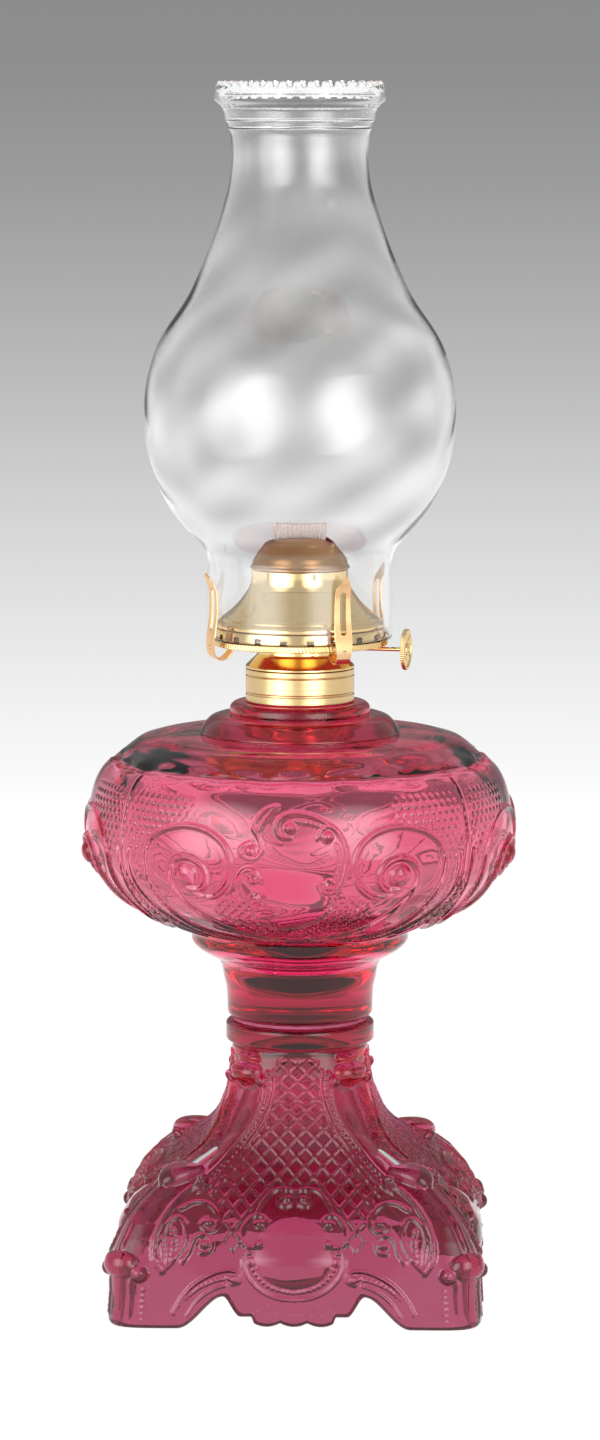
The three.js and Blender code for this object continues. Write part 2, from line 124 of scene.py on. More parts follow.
def between(low, high, value):
    """0 below low, 1 above high, and a smooth step in between."""
    t = np.clip((value - low) / (high - low), 0, 1)
    return t * t * (3 - 2 * t)


def inside(outline, x, y):
    """Which places lie inside a closed outline, by the even-odd rule."""
    found = np.zeros(np.shape(x), bool)
    for (x0, y0), (x1, y1) in zip(outline, [*outline[1:], outline[0]]):
        crosses = (y0 > y) != (y1 > y)
        rise = y1 - y0 if y1 != y0 else 1e-9
        found ^= crosses & (x < (x1 - x0) * (y - y0) / rise + x0)
    return found


# ---------- meshes ----------


def mesh_object(name, vertices, faces):
    mesh = bpy.data.meshes.new(name)
    mesh.from_pydata((np.asarray(vertices) * MM).tolist(), [], faces)
    mesh.shade_smooth()
    made = bpy.data.objects.new(name, mesh)
    bpy.context.scene.collection.objects.link(made)
    return made


def grid_parts(grid, loop_rows=False, poles=False):
    """Vertices and faces of a grid whose columns go round once. Rows either loop, or end in two poles."""
    rows, columns = grid.shape[:2]
    index = np.arange(rows * columns).reshape(rows, columns)
    low = index if loop_rows else index[:-1]
    high = np.roll(index, -1, axis=0) if loop_rows else index[1:]
    corners = [low, np.roll(low, -1, axis=1), np.roll(high, -1, axis=1), high]
    faces = np.stack(corners, axis=-1).reshape(-1, 4).tolist()
    vertices = grid.reshape(-1, 3)
    if poles:
        start, end = rows * columns, rows * columns + 1
        vertices = np.vstack([vertices, grid[0].mean(0), grid[-1].mean(0)])
        faces += [[start, b, a] for a, b in zip(index[0], np.roll(index[0], -1))]
        faces += [[end, a, b] for a, b in zip(index[-1], np.roll(index[-1], -1))]
        faces = [[int(i) for i in face] for face in faces]
    return vertices, faces


def joined(parts):
    """Several (vertices, faces) pairs as one."""
    vertices, faces, count = [], [], 0
    for some, their_faces in parts:
        vertices.append(some)
        faces += [[i + count for i in face] for face in their_faces]
        count += len(some)
    return np.vstack(vertices), faces


def around(profile, columns, start=0.0):
    """A profile of (radius, height) turned round Z, as a grid."""
    angles = start + np.arange(columns) * FULL / columns
    profile = np.asarray(profile, float)
    radius, height = profile[:, 0, None], profile[:, 1, None]
    return np.stack([radius * np.sin(angles), -radius * np.cos(angles), height + 0 * angles], axis=-1)


def anticlockwise(profile):
    x, y = np.asarray(profile, float).T
    area = np.sum(x * np.roll(y, -1) - y * np.roll(x, -1))
    return profile if area > 0 else profile[::-1]


def turned(name, profile, columns):
    """A ring whose profile closes on itself."""
    return mesh_object(name, *grid_parts(around(anticlockwise(profile), columns), loop_rows=True))


def apply_modifiers(made):
    """Replaces an object's mesh by what its modifiers make of it."""
    bpy.context.view_layer.update()
    evaluated = made.evaluated_get(bpy.context.evaluated_depsgraph_get())
    mesh = bpy.data.meshes.new_from_object(evaluated)
    made.modifiers.clear()
    made.data = mesh


def cut(made, cutters):
    """Cuts the cutters out of an object and removes them."""
    for cutter in cutters:
        boolean = made.modifiers.new("cut", "BOOLEAN")
        boolean.operation = "DIFFERENCE"
        boolean.solver = "EXACT"
        boolean.object = cutter
    apply_modifiers(made)
    for cutter in cutters:
        bpy.data.objects.remove(cutter)
    made.data.shade_smooth()
    made.data.set_sharp_from_angle(angle=math.radians(35))


def slot_outline(length, width, steps=10):
    """A slot with round ends, along X."""
    turn = np.linspace(-math.pi / 2, math.pi / 2, steps)
    half = (length - width) / 2
    end = np.stack([half + width / 2 * np.cos(turn), width / 2 * np.sin(turn)], axis=1)
    return np.vstack([end, -end])


def prism_faces(count):
    """The faces of a prism whose two ends are rings of count points."""
    walls = [[i, (i + 1) % count, count + (i + 1) % count, count + i] for i in range(count)]
    return [*walls, list(range(count))[::-1], list(range(count, 2 * count))]


def prism_parts(outline, low, high):
    """An outline in the XY plane raised from low to high."""
    count = len(outline)
    return np.vstack([np.c_[outline, np.full(count, z)] for z in (low, high)]), prism_faces(count)


def turn_about_z(points, angle):
    c, s = math.cos(angle), math.sin(angle)
    x, y, z = np.asarray(points).T
    return np.stack([c * x - s * y, s * x + c * y, z], axis=1)


def finish_piece(made, body, slot, material, *nodes):
    """Puts a piece on its body, with its material, in place of the CAD nodes. The slot is not used."""
    made.data.materials.clear()
    made.data.materials.append(material)
    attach(made, body)
    if nodes:
        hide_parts(*nodes)
    return made


# ---------- relief ----------


def raised_line(places, line, half_width, height):
    """How high a rounded ridge along a line stands at each place."""
    tree = KDTree(len(line))
    for i, p in enumerate(line):
        tree.insert(p, i)
    tree.balance()
    flat = places.reshape(-1, 3)
    near = np.all((flat > line.min(0) - half_width) & (flat < line.max(0) + half_width), axis=1)
    heights = np.zeros(len(flat))
    for i in np.nonzero(near)[0]:
        distance = tree.find(flat[i])[2]
        if distance < half_width:
            heights[i] = height * (1 - (distance / half_width) ** 2) ** 1.5
    return heights.reshape(places.shape[:-1])


def raised_balls(places, centres, radius, height):
    """How high round domes stand at each place."""
    heights = np.zeros(places.shape[:-1])
    for centre in np.atleast_2d(centres):
        share = np.sum((places - centre) ** 2, axis=-1) / radius**2
        heights = np.maximum(heights, height * np.sqrt(np.clip(1 - share, 0, 1)))
    return heights


def lattice(u, v, pitch, width, height):
    """Two crossing families of thin raised lines, with the diamonds between them slightly domed."""
    heights = np.zeros(np.shape(u))
    for side in (1, -1):
        offset = np.abs((u + side * v) / pitch - np.round((u + side * v) / pitch)) * pitch
        heights = np.maximum(heights, height * np.clip(1 - (offset / width) ** 2, 0, 1))
    return heights


def normals_of(grid):
    """Unit normals of a grid whose columns go round."""
    along = np.gradient(grid, axis=0)
    across = np.roll(grid, -1, axis=1) - np.roll(grid, 1, axis=1)
    normal = np.cross(across, along)
    return normal / np.maximum(np.linalg.norm(normal, axis=-1, keepdims=True), 1e-9)


# ---------- glass base ----------

BASE_COLUMNS = 800
BASE_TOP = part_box("glass_base")[1].z / MM
HOLLOW_TOP = 107.6
BASE_WALL = 4.5
FOOT_END = 48
ARCH_PEAK = 29.5
ARCH_TOP = 13
LOBE_PITCH = 11.2
LOBES_END = 1.5 * LOBE_PITCH
APRON_STEP = 4.8
EDGE_ROUND = 1.9
BASE_SOFTNESS = 16
SQUAREST = 0.95

# Height, half-width across the faces, and how far a leg's corner reaches along X and along Y.
BASE_LEVELS = np.array([
    [0, 75.8, 72.6], [6, 75.3, 72.2], [14, 74.8, 71.6], [22, 74.2, 71.8], [28, 73.0, 71.6],
    [35.5, 68.8, 68.4], [41.5, 63.2, 65.6], [47.5, 56.0, 61.2], [54.5, 47.4, 53.6], [61.5, 40.8, 44.4],
    [66, 37.2, 37.2], [73, 33.5, 30.2], [84, 30, 24.4], [92, 28.8, 22.2], [98, 28.1, 21], [104, 28, 20.3],
])


def base_plan(angles, z):
    """The plain base's radius at each direction from a face's middle, and each height."""
    face = np.interp(z, BASE_LEVELS[:, 0], BASE_LEVELS[:, 1])
    square = np.interp(z, BASE_LEVELS[:, 0], BASE_LEVELS[:, 2]) / face
    square = np.maximum(square, math.sqrt(0.5) + 1e-3)
    power = -math.log(2) / np.log(np.minimum(square, SQUAREST))
    total = np.abs(np.cos(angles)) ** power + np.abs(np.sin(angles)) ** power
    leg = np.maximum(square / SQUAREST - 1, 0) * np.sin(2 * angles) ** 8
    return face * total ** (-1 / power) * (1 + leg)


def base_place(u, z):
    """The point of a face at u across and z up, the face looking along -Y."""
    u, z = np.asarray(u, float), np.asarray(z, float)
    low, high = np.zeros_like(u), np.full_like(u, math.pi / 4)
    for _ in range(24):
        middle = (low + high) / 2
        short = base_plan(middle, z) * np.sin(middle) < np.abs(u)
        low, high = np.where(short, middle, low), np.where(short, high, middle)
    radius = base_plan(low, z)
    return np.stack([np.sign(u) * radius * np.sin(low), -radius * np.cos(low), z], axis=-1)


def edge_height(u):
    """Height of the base's lower edge at u across a face: feet, arches and a lobed apron."""
    u = np.abs(u)
    lobe = 0.8 + 1.5 * (np.abs((u + LOBE_PITCH / 2) % LOBE_PITCH - LOBE_PITCH / 2) / (LOBE_PITCH / 2)) ** 2
    apron = lobe + (APRON_STEP - lobe) * between(LOBES_END - 0.7, LOBES_END + 0.7, u)
    rise = apron + (ARCH_TOP - apron) * between(22, ARCH_PEAK, u)
    fall = ARCH_TOP * (1 - between(ARCH_PEAK, FOOT_END, u))
    return np.where(u > ARCH_PEAK, fall, rise)


# Lines of a face's right half, as points (across, height).
LADDER_INNER = [(10, 97), (9.6, 90), (11.5, 82), (15.5, 74), (21, 67), (28, 60), (35, 54.5), (40, 52)]
LADDER_OUTER = [(14.6, 94), (14, 88), (16, 81), (20, 73.5), (25.5, 67), (31.6, 61), (37, 57), (41.5, 55)]
BAND_EDGE = [(41, 54.5), (47.5, 50), (53, 43.5), (56, 36), (56.2, 29), (53, 23.4)]
LEAF = [
    (53, 23.5), (49.4, 27.5), (45.4, 32), (43.6, 38), (46.4, 43.8), (51, 42), (53.6, 36), (52.6, 30),
    (53, 23.5),
]
LEAF_HEART = [(49.2, 29), (47.6, 34.5), (49.4, 39.4)]
LEAF_SCROLL = [
    (46.4, 46.5), (40.4, 48.8), (35, 47.6), (31.2, 43.6), (31.8, 39.4), (35.2, 38.2), (37.6, 40.6),
    (35.6, 43),
]
LOW_VOLUTE = [(45.2, 27.6), (42.4, 31), (40.6, 35.8), (36.8, 37.4), (33.4, 34.8), (34.2, 31), (37.4, 30.8)]
ARC_SCROLL = [
    (48.6, 6.4), (45, 13), (40, 18.6), (33.4, 22.4), (27, 24.2), (22.2, 23), (21.8, 19.4), (25, 18.6),
]
ARC_LOWER = [(43, 5.5), (39, 11.6), (33.6, 15.8), (27.5, 18.2)]
MEDALLION = [(0, 12.2), (7, 13), (14, 16.4), (19, 22.2), (20.6, 27.6), (19.4, 31.6)]
MEDALLION_SCROLL = [
    (14.2, 33.6), (17.8, 32.4), (21.2, 35), (20.8, 39.4), (16.4, 43.6), (12, 42.6), (12.4, 39.6),
]
TOP_SCROLL = [(1.6, 47.2), (5, 46.4), (6.6, 49), (4.4, 52), (0.4, 51.4), (-0.6, 48.6)]
TOP_SCROLL_TAIL = [(4.4, 52.4), (9, 51.6), (13.2, 48), (15.4, 44)]
SIDE_STEM = [(57.7, 17.4), (58.8, 12), (58.6, 3)]
ARC_BEADS = [(46, 9.8), (40.5, 15.6), (34, 19.4), (24.6, 21.4)]
MEDALLION_BEADS = [(0, 15.2), (7, 16), (13.4, 19.8), (17.2, 25.4), (17.8, 30.5)]
STEM_BEADS = [(60.6, 16), (60.8, 3.6)]
SCROLL_EYES = [(14, 40.6), (14.4, 33.6), (3.2, 48.8), (34.6, 41.2), (36, 33.6), (24, 20.6)]
TOP_DOTS = [(0, 100.4), (6, 100.8), (12.6, 95.6)]
LATTICE_REGION = [
    (-9, 101), (9, 101), (9, 88), (13.5, 77), (19.5, 67.5), (28, 58.5), (37.5, 51.6), (31, 49), (28, 44),
    (29, 36), (24.5, 31), (21.6, 34.6), (22, 41), (17.4, 45.4), (12, 50), (4, 54), (-4, 54), (-12, 50),
    (-17.4, 45.4),
    (-22, 41), (-21.6, 34.6), (-24.5, 31), (-29, 36), (-28, 44), (-31, 49), (-37.5, 51.6), (-28, 58.5),
    (-19.5, 67.5), (-13.5, 77), (-9, 88),
]


# The scooped band's inner border: heights, and how far across the face it lies at each.
LEG_BORDER = ([50, 55, 61, 67, 73.5, 81, 88, 96], [46, 41.5, 31.6, 25.5, 20, 16, 14, 14.6])
# Upper and lower knuckles, capital and crown: how far out, how wide, middle height, half height.
LEG_ROLLS = [(5.6, 13, 58.4, 4.6), (3.8, 12, 25.6, 5), (4.6, 10, 95, 5), (2.2, 8, 101.4, 2.6)]
# Balls at the knuckles' and the capital's ends: across, height, radius, how far out.
LEG_VOLUTES = [(38.6, 55.6, 3.1, 3.2), (62.4, 22.6, 3.4, 3.4), (15.0, 92.6, 2.7, 2.6)]


def base_relief(places, u, z):
    """How high the pattern stands on one eighth of the base, from a face's middle to a corner."""

    def line(points, half_width, height):
        across, up = smooth(points, 0.35, BASE_SOFTNESS).T
        return raised_line(places, base_place(across, up), half_width, height)

    def balls(points, radius, height):
        across, up = np.array(points, float).T
        return raised_balls(places, base_place(across, up), radius, height)

    net = lattice(u, z * 1.02, 7.2, 0.75, 0.75)
    height = np.where(inside(LATTICE_REGION, u, z), net, 0)
    for points, half_width, tall in [
        (LADDER_INNER, 0.9, 0.9), (LADDER_OUTER, 1.1, 1.3), (BAND_EDGE, 1.3, 1.4), (LEAF, 0.95, 1.0),
        (LEAF_SCROLL, 1.1, 1.2), (LOW_VOLUTE, 1.1, 1.2), (ARC_SCROLL, 1.1, 1.2), (ARC_LOWER, 0.9, 0.8),
        (MEDALLION, 0.9, 0.9), (MEDALLION_SCROLL, 1.1, 1.3), (TOP_SCROLL, 1.1, 1.3),
        (TOP_SCROLL_TAIL, 1.1, 1.2), (SIDE_STEM, 1.0, 0.5),
    ]:
        height = np.maximum(height, line(points, half_width, tall))
    rungs = (np.array(LADDER_INNER) + np.array(LADDER_OUTER)) / 2
    for points, pitch, radius, tall in [
        (rungs, 2.3, 1.15, 0.9), (LEAF_HEART, 1.9, 0.95, 0.8), (ARC_BEADS, 2.1, 0.9, 0.8),
        (MEDALLION_BEADS, 2.3, 1.0, 1.1), (STEM_BEADS, 2.3, 1.0, 0.7),
    ]:
        height = np.maximum(height, balls(smooth(points, pitch), radius, tall))
    height = np.maximum(height, balls(SCROLL_EYES, 2.0, 2.0))
    height = np.maximum(height, balls(TOP_DOTS, 1.2, 0.9))
    medal = np.clip(1 - (u / 16.6) ** 2 - ((z - 29.5) / 13.2) ** 2, 0, 1)
    flutes = 0.55 * np.cos(u * FULL / 2.1) * between(5, 7, z) * between(13.5, 11.5, z + 0.02 * u * u)
    flutes = flutes * (u < 24)
    return height + 2.6 * medal**0.6 + flutes


def base_legs(places, u, z, corner):
    """The large forms of a leg: a scooped band, rolled knuckles and a capital, on each side of the corner."""
    border = np.interp(z, *LEG_BORDER)
    share = np.clip((u - border) / np.maximum(corner - border, 1), 0, 1)
    scoop = -3.4 * np.sin(share * math.pi / 2) ** 2 * between(54, 62, z) * between(93, 88, z)
    reach = (corner - u) * math.sqrt(2)
    rolled = [
        tall * np.clip(1 - (reach / wide) ** 2 - ((z - middle) / high) ** 2, 0, 1) ** 0.6
        for tall, wide, middle, high in LEG_ROLLS
    ]
    for across, up, radius, tall in LEG_VOLUTES:
        centre = base_place(np.array([across]), np.array([up]))
        rolled.append(raised_balls(places, centre, radius, tall))
    spine = np.clip(1 - (reach / 2.2) ** 2, 0, 1) * 1.2 * between(29, 33, z) * between(56, 52, z)
    foot_curl = 0.8 * np.clip(1 - ((reach - 8) / 2) ** 2, 0, 1) * between(2, 6, z) * between(22, 18, z)
    return scoop + np.maximum.reduce([*rolled, spine, foot_curl])


def eighths(part):
    """The columns of one eighth turn, from a face's middle to a corner, repeated with mirrors all round."""
    quarter = np.concatenate([part, part[:, -2:0:-1]], axis=1)
    return np.concatenate([quarter] * 4, axis=1)


def base_outside():
    """The grid of the base's outer surface, from its lower edge to the foot of the top ring."""
    columns = BASE_COLUMNS // 8 + 1
    angles = np.linspace(0, math.pi / 4, columns)
    across = base_plan(angles, 4.0) * np.sin(angles)
    low_rows, split, top = 40, 26.0, 104.0
    edge = edge_height(across)[None] + EDGE_ROUND
    share = np.linspace(0, 1, low_rows, endpoint=False)[:, None]
    lower = edge + (split - edge) * share
    levels = BASE_LEVELS[BASE_LEVELS[:, 0] >= split]
    guide = evenly(levels[:, [1, 0]], 0.62)
    upper = np.repeat(np.r_[split, guide[:, 1]][:, None], columns, axis=1)
    z = np.vstack([lower, upper])
    radius = base_plan(angles[None] + 0 * z, z)
    u = radius * np.sin(angles)
    places = np.stack([u, -radius * np.cos(angles), z], axis=-1)
    corner = base_plan(np.full_like(z, math.pi / 4), z) * math.sin(math.pi / 4)
    height = base_relief(places, u, z) + base_legs(places, u, z, corner)
    height *= between(0, 1.5, z - edge) * between(top, top - 3, z)
    full = np.arange(BASE_COLUMNS) * FULL / BASE_COLUMNS
    radius, z, height = eighths(radius), eighths(z), eighths(height)
    grid = np.stack([radius * np.sin(full), -radius * np.cos(full), z], axis=-1)
    return grid + normals_of(grid) * height[..., None]


def base_inside(edge_row):
    """The hollow's surface, from the lower edge up to its closed top."""
    angles = np.arange(BASE_COLUMNS) * FULL / BASE_COLUMNS
    folded = np.abs((angles + math.pi / 4) % (math.pi / 2) - math.pi / 4)
    heights = np.r_[np.linspace(0, 60, 40), np.linspace(62, 92, 14)]
    rows = []
    for z in heights:
        level = z + edge_row * between(34, 0, z)
        radius = base_plan(folded, level) - BASE_WALL - 0.02 * level
        rows.append(np.stack([radius * np.sin(angles), -radius * np.cos(angles), level], axis=-1))
    for radius, z in HOLLOW_CLOSE:
        rows.append(around([(radius, z)], BASE_COLUMNS)[0])
    grid = np.array(rows)
    unevenness = ripple(grid, 0.5, 3) * between(6, 16, grid[..., 2]) * between(96, 84, grid[..., 2])
    return grid + normals_of(grid) * unevenness[..., None]


HOLLOW_CLOSE = [(21.4, 95), (19.4, 98.4), (16.6, 101.6), (12.6, 104.6), (7.6, 106.8), (1.5, HOLLOW_TOP)]
TOP_RING = [(28, 104.2), (28.2, 105), (30.7, 105.6), (30.7, 112.9), (28.7, BASE_TOP), (2, BASE_TOP)]


def glass_base(material):
    outside = base_outside()
    edge_row = outside[0, :, 2]
    hollow = base_inside(edge_row)
    rim, lip = outside[0], hollow[0]
    turns = np.linspace(0, math.pi, 10)[1:-1]
    bottom = []
    for turn in turns:
        share = (1 - math.cos(turn)) / 2
        row = lip * (1 - share) + rim * share
        row[:, 2] -= EDGE_ROUND * math.sin(turn)
        bottom.append(row)
    bottom = np.array(bottom)
    bottom[..., 2] = np.maximum(bottom[..., 2], 0)
    ring = filleted(TOP_RING, 1.2, closed=False)
    grid = np.concatenate([hollow[::-1], bottom, outside, around(ring, BASE_COLUMNS)])
    made = mesh_object("glass_base_shell", *grid_parts(grid, poles=True))
    return finish_piece(made, "stand", "cranberry_glass", material, "glass_base")


# ---------- glass font ----------

FONT_COLUMNS = 960
FONT_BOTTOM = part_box("glass_font")[0].z / MM
NECK_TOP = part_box("glass_font")[1].z / MM
SEAM = 52.5  # degrees from the front to the mould seam between a front panel and a side panel
SHOULDER_SCALLOPS = 24

FONT_STEM = [
    (28.6, FONT_BOTTOM), (30.0, FONT_BOTTOM + 1.2), (30.1, 119), (30.1, 122.7), (30.5, 127.8), (31.7, 132.8),
    (32.3, 137.2), (34.6, 140.2), (39.2, 142.6), (42.8, 145), (44.9, 147.6), (44.9, 150.6), (46.6, 152.8),
]
FONT_BOWL = [
    (46.6, 152.8), (53.5, 155.2), (60.7, 158.2), (68.6, 163.1), (75.0, 168.1), (79.9, 173.1), (83.6, 178.1),
    (86.3, 184), (87.5, 190), (87.9, 196), (87.4, 202), (86.2, 208), (84.4, 214), (81.6, 219), (78.2, 222.2),
]
FONT_SHOULDER = [
    (78.2, 222.2), (74.6, 222.9), (73.6, 225.4), (70.6, 228.2), (66.5, 231.2), (60, 232.8), (50, 233.3),
    (41, 233.2), (41.2, 234.2), (39.6, 237.4), (36.6, 240.4), (33, 241.4), (28.6, 241.3), (28.9, 242.2),
    (28.9, 244.8),
    (27, 246.5), (19.8, 246.5), (19.8, NECK_TOP), (16.6, NECK_TOP),
]
FONT_INSIDE = [
    (16.6, NECK_TOP), (16.6, 242), (19, 239), (27, 235.6), (40, 229.6), (56, 228.6), (69, 223.6), (79.6, 213),
    (83.4, 200), (83, 190), (79.6, 180), (71, 170), (58, 162.4), (42, 155.4), (32, 149.6), (26.4, 143),
    (23.4, 137), (20, 132.6), (15, 129), (8, 126.4), (1, 125.4),
]

# Lines of the front panel's right half, as points (degrees from the front, height). The side panel repeats
# them, mirrored over the seam.
SWEEP_OUTER = [
    (4, 156.6), (16, 155.8), (28, 157), (36.5, 160), (40.6, 166), (42.6, 174), (43.8, 183), (43.6, 192),
    (40.6, 199), (35.6, 203.6), (29, 205.6), (22.6, 204), (18.4, 199.6), (16.4, 193.4), (16.6, 187),
    (18.6, 181.4), (22.6, 177.4), (26.4, 177.6), (29.4, 180.6), (29.8, 182.2),
]
SWEEP_INNER = [
    (29.8, 181.2), (26, 180.6), (23.6, 183.6), (23.2, 188), (25.4, 192.2), (29, 193.6), (32.6, 191.4),
    (34.6, 186.4), (34.2, 179.6), (31.6, 172.4), (27.4, 166), (21.4, 161.2), (14, 158.4), (7, 157.6),
]
SWEEP_UNDER = [
    (5, 154.8), (20, 153.8), (33, 155.4), (42, 159.6), (46.8, 166), (49.4, 175), (50.4, 185), (50, 193),
]
BAND_EDGE_LINE = [(52.5, 162), (49.6, 160.4), (44, 157)]

CARTOUCHE_LINES = [
    [(-0.6, 202.6), (-3.4, 203.4), (-4.2, 207.4), (-2.2, 211.2), (2, 212), (6.4, 210.2), (10.6, 206.6)],
    [(-9, 204.6), (-8, 208), (-6, 212), (-3.6, 214.6), (-7, 213.4), (-9.6, 209), (-9.8, 205.4), (-9, 204.6)],
    [(-11.4, 200.4), (-13.6, 198.2), (-12.6, 194.8), (-9.6, 194.4), (-8, 197.6), (-8.6, 202), (-10.4, 206)],
    [
        (-8.4, 184.6), (-9.6, 188.8), (-12.4, 189.6), (-14.4, 185.6), (-14.4, 180), (-12, 174.6),
        (-8.6, 174.4), (-7.8, 178),
    ],
    [
        (6.6, 202.4), (8, 206.2), (11, 206), (13.2, 201.4), (14.2, 194.6), (13.6, 187), (12, 181.6), (9, 180),
        (7.6, 183.6),
    ],
    [(-10.8, 165.6), (-5, 162.8), (2, 163.8), (8, 167.8), (11.2, 173), (11.6, 177.2)],
    [(-12.6, 171.6), (-8, 173.4), (-4.4, 171.4), (-6.6, 168.6), (-11.2, 168.2), (-12.6, 171.6)],
]
CARTOUCHE_BALLS = [(-0.6, 206.2), (-11.0, 197.4), (-10.4, 186), (-10.2, 177.6), (9.2, 203), (9.8, 183.2)]
CARTOUCHE_BEADS = [(0.6, 209.2), (4.4, 208.8), (8.2, 206.8)]
CARTOUCHE_HATCH = [(11.8, 199.6), (12.6, 194.6), (12.2, 189), (11.4, 185)]
BOTTOM_LATTICE = [
    (0, 158.6), (10, 160), (19, 163.6), (24.6, 170), (22, 174.6), (17, 178.6), (13, 176), (9, 168.6),
    (0, 162.6),
]
SEAM_LATTICE = [(41.4, 158.6), (53, 161), (53, 184), (50.8, 184), (48.6, 170)]


def font_outline(z):
    """The bowl's radius at a height, before any pattern."""
    bowl = smooth(FONT_BOWL, 0.5)
    return np.interp(z, bowl[:, 1], bowl[:, 0])


def font_place(degrees, z):
    turn, radius = np.radians(degrees), font_outline(z)
    return np.stack([radius * np.sin(turn), -radius * np.cos(turn), np.asarray(z, float)], axis=-1)


def fan_places(degrees, profile):
    """The points of a (radius, height) profile on meridians at the given degrees from the front."""
    radius, z = profile[:, 0, None], profile[:, 1, None]
    turn = np.radians(degrees)[None]
    return np.stack([radius * np.sin(turn), -radius * np.cos(turn), z + 0 * turn], axis=-1)


def font_pattern(degrees, profile):
    """Height of the volutes, lattice and stipple on a fan of meridians from the front to the seam."""
    places = fan_places(degrees, profile)
    z = places[..., 2]
    az = degrees[None] + 0 * z
    across = np.radians(az) * 86
    # Only the bowl carries the pattern.
    on_bowl = between(153.4, 155, z) * between(222, 219, z)

    def line(points, half_width, height):
        angle, up = smooth(points, 0.25).T
        return raised_line(places, font_place(angle, up), half_width, height)

    height = np.zeros_like(z)
    steps = np.linalg.norm(np.diff(profile, axis=0), axis=1)
    along = np.r_[0, np.cumsum(steps)][:, None]
    net = lattice(across, along, 4.6, 0.6, 0.6)
    for region in (BOTTOM_LATTICE, SEAM_LATTICE):
        height = np.maximum(height, np.where(inside(region, az, z), net, 0))
    for points, half_width, tall in [
        (SWEEP_OUTER, 1.3, 1.4), (SWEEP_INNER, 1.4, 1.7), (SWEEP_UNDER, 1.2, 1.1), (BAND_EDGE_LINE, 1.2, 0.9),
    ]:
        height = np.maximum(height, line(points, half_width, tall))
    height = np.maximum(height, raised_balls(places, font_place(28.7, 186.6), 4.6, 3.4))
    pitch = 3.5
    row = np.round(z / (pitch * 0.87))
    column = across / pitch + 0.5 * (row % 2)
    dots = np.hypot((column - np.round(column)) * pitch, z - row * pitch * 0.87)
    free = between(26, 33, az) * between(51, 49, az) * between(186, 194, z) * between(219, 214, z)
    free = free * (height == 0) * (np.hypot((az - 30) * 1.5, z - 190) > 17)
    stipple = 0.55 * np.clip(1 - (dots / 1.05) ** 2, 0, 1) * free
    disc = np.clip(1 - ((az - 30) * 1.5 / 17.5) ** 2 - ((z - 190.5) / 14) ** 2, 0, 1)
    seam = 0.55 * np.clip(1 - ((az - SEAM) * 1.5 / 1.1) ** 2, 0, 1) * between(231, 226, z)
    return np.maximum(height + stipple + 1.1 * disc**0.8, 0) * on_bowl + seam * between(150, 154, z)


def cartouche(degrees, profile):
    """Height of the asymmetric cartouche in the middle of the front and back panels."""
    places = fan_places(degrees, profile)
    height = np.zeros(places.shape[:-1])
    for points in CARTOUCHE_LINES:
        angle, up = smooth(points, 0.25).T
        height = np.maximum(height, raised_line(places, font_place(angle, up), 1.0, 1.2))
    for points, pitch in ((CARTOUCHE_BEADS, 1.4), (CARTOUCHE_HATCH, 1.7)):
        angle, up = smooth(points, pitch).T
        height = np.maximum(height, raised_balls(places, font_place(angle, up), 0.9, 0.7))
    angle, up = np.array(CARTOUCHE_BALLS).T
    return np.maximum(height, raised_balls(places, font_place(angle, up), 2.3, 2.2))


def font_relief(profile):
    """The pattern's height all round: front and back panels alike, and the two side panels alike."""
    step = 360 / FONT_COLUMNS
    fan = np.arange(int(round(SEAM / step)) + 1) * step
    panel = font_pattern(fan, profile)
    degrees = np.arange(FONT_COLUMNS) * step
    folded = np.minimum(degrees % 180, 180 - degrees % 180)
    folded = np.where(folded > SEAM, 2 * SEAM - folded, folded)
    height = panel[:, np.round(folded / step).astype(int)]
    middle = np.arange(-60, 61)
    sign = cartouche(middle * step, profile)
    for turn in (0, FONT_COLUMNS // 2):
        columns = (middle + turn) % FONT_COLUMNS
        height[:, columns] = np.maximum(height[:, columns], sign)
    return height


def ripple(grid, amount, seed):
    """A slow, uneven wave over a surface, as in pressed or blown glass."""
    noise = np.random.default_rng(seed)
    total = np.zeros(grid.shape[:2])
    for _ in range(7):
        wave = noise.normal(0, 1, 3)
        wave *= FULL / noise.uniform(22, 60) / np.linalg.norm(wave)
        total += np.sin(grid @ wave + noise.uniform(0, FULL))
    return amount * total / 2.6


def glass_font(material):
    stem = filleted(FONT_STEM, 1.6, 0.9, closed=False)
    bowl = smooth(FONT_BOWL, 0.66)
    shoulder = filleted(FONT_SHOULDER, 1.5, 0.8, closed=False)
    outer = np.vstack([stem[:-1], bowl[:-1], shoulder])
    inner = filleted(FONT_INSIDE, 5, 2.0, closed=False)
    grid = around(outer, FONT_COLUMNS)
    height = np.zeros(grid.shape[:2])
    rows = slice(len(stem) - 1, len(stem) + len(bowl) - 2)
    height[rows] = font_relief(bowl[:-1])
    angles = np.arange(FONT_COLUMNS) * FULL / FONT_COLUMNS
    ledge = np.exp(-(((outer[:, 1] - 224.2) / 2.2) ** 2)) * (outer[:, 1] > 219) * (outer[:, 0] > 60)
    height += 0.7 * ledge[:, None] * np.cos(SHOULDER_SCALLOPS * angles)
    grid = grid + normals_of(grid) * (height + ripple(grid, 0.05, 5) * (outer[:, :1] > 30.5))[..., None]
    hollow = around(inner[1:], FONT_COLUMNS)
    hollow += normals_of(hollow) * (ripple(hollow, 0.8, 8) * between(22, 40, inner[1:, :1]))[..., None]
    bottom = around([(2, FONT_BOTTOM)], FONT_COLUMNS)
    grid = np.concatenate([bottom, grid, hollow])
    made = mesh_object("glass_font_shell", *grid_parts(grid, poles=True))
    return finish_piece(made, "stand", "cranberry_glass", material, "glass_font")


# ---------- chimney ----------

CHIMNEY_COLUMNS = 576
CHIMNEY_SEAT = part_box("chimney")[0].z / MM
CHIMNEY_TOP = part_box("chimney")[1].z / MM
CHIMNEY_WALL = 0.9
BEADS = 36
CROWN = 33

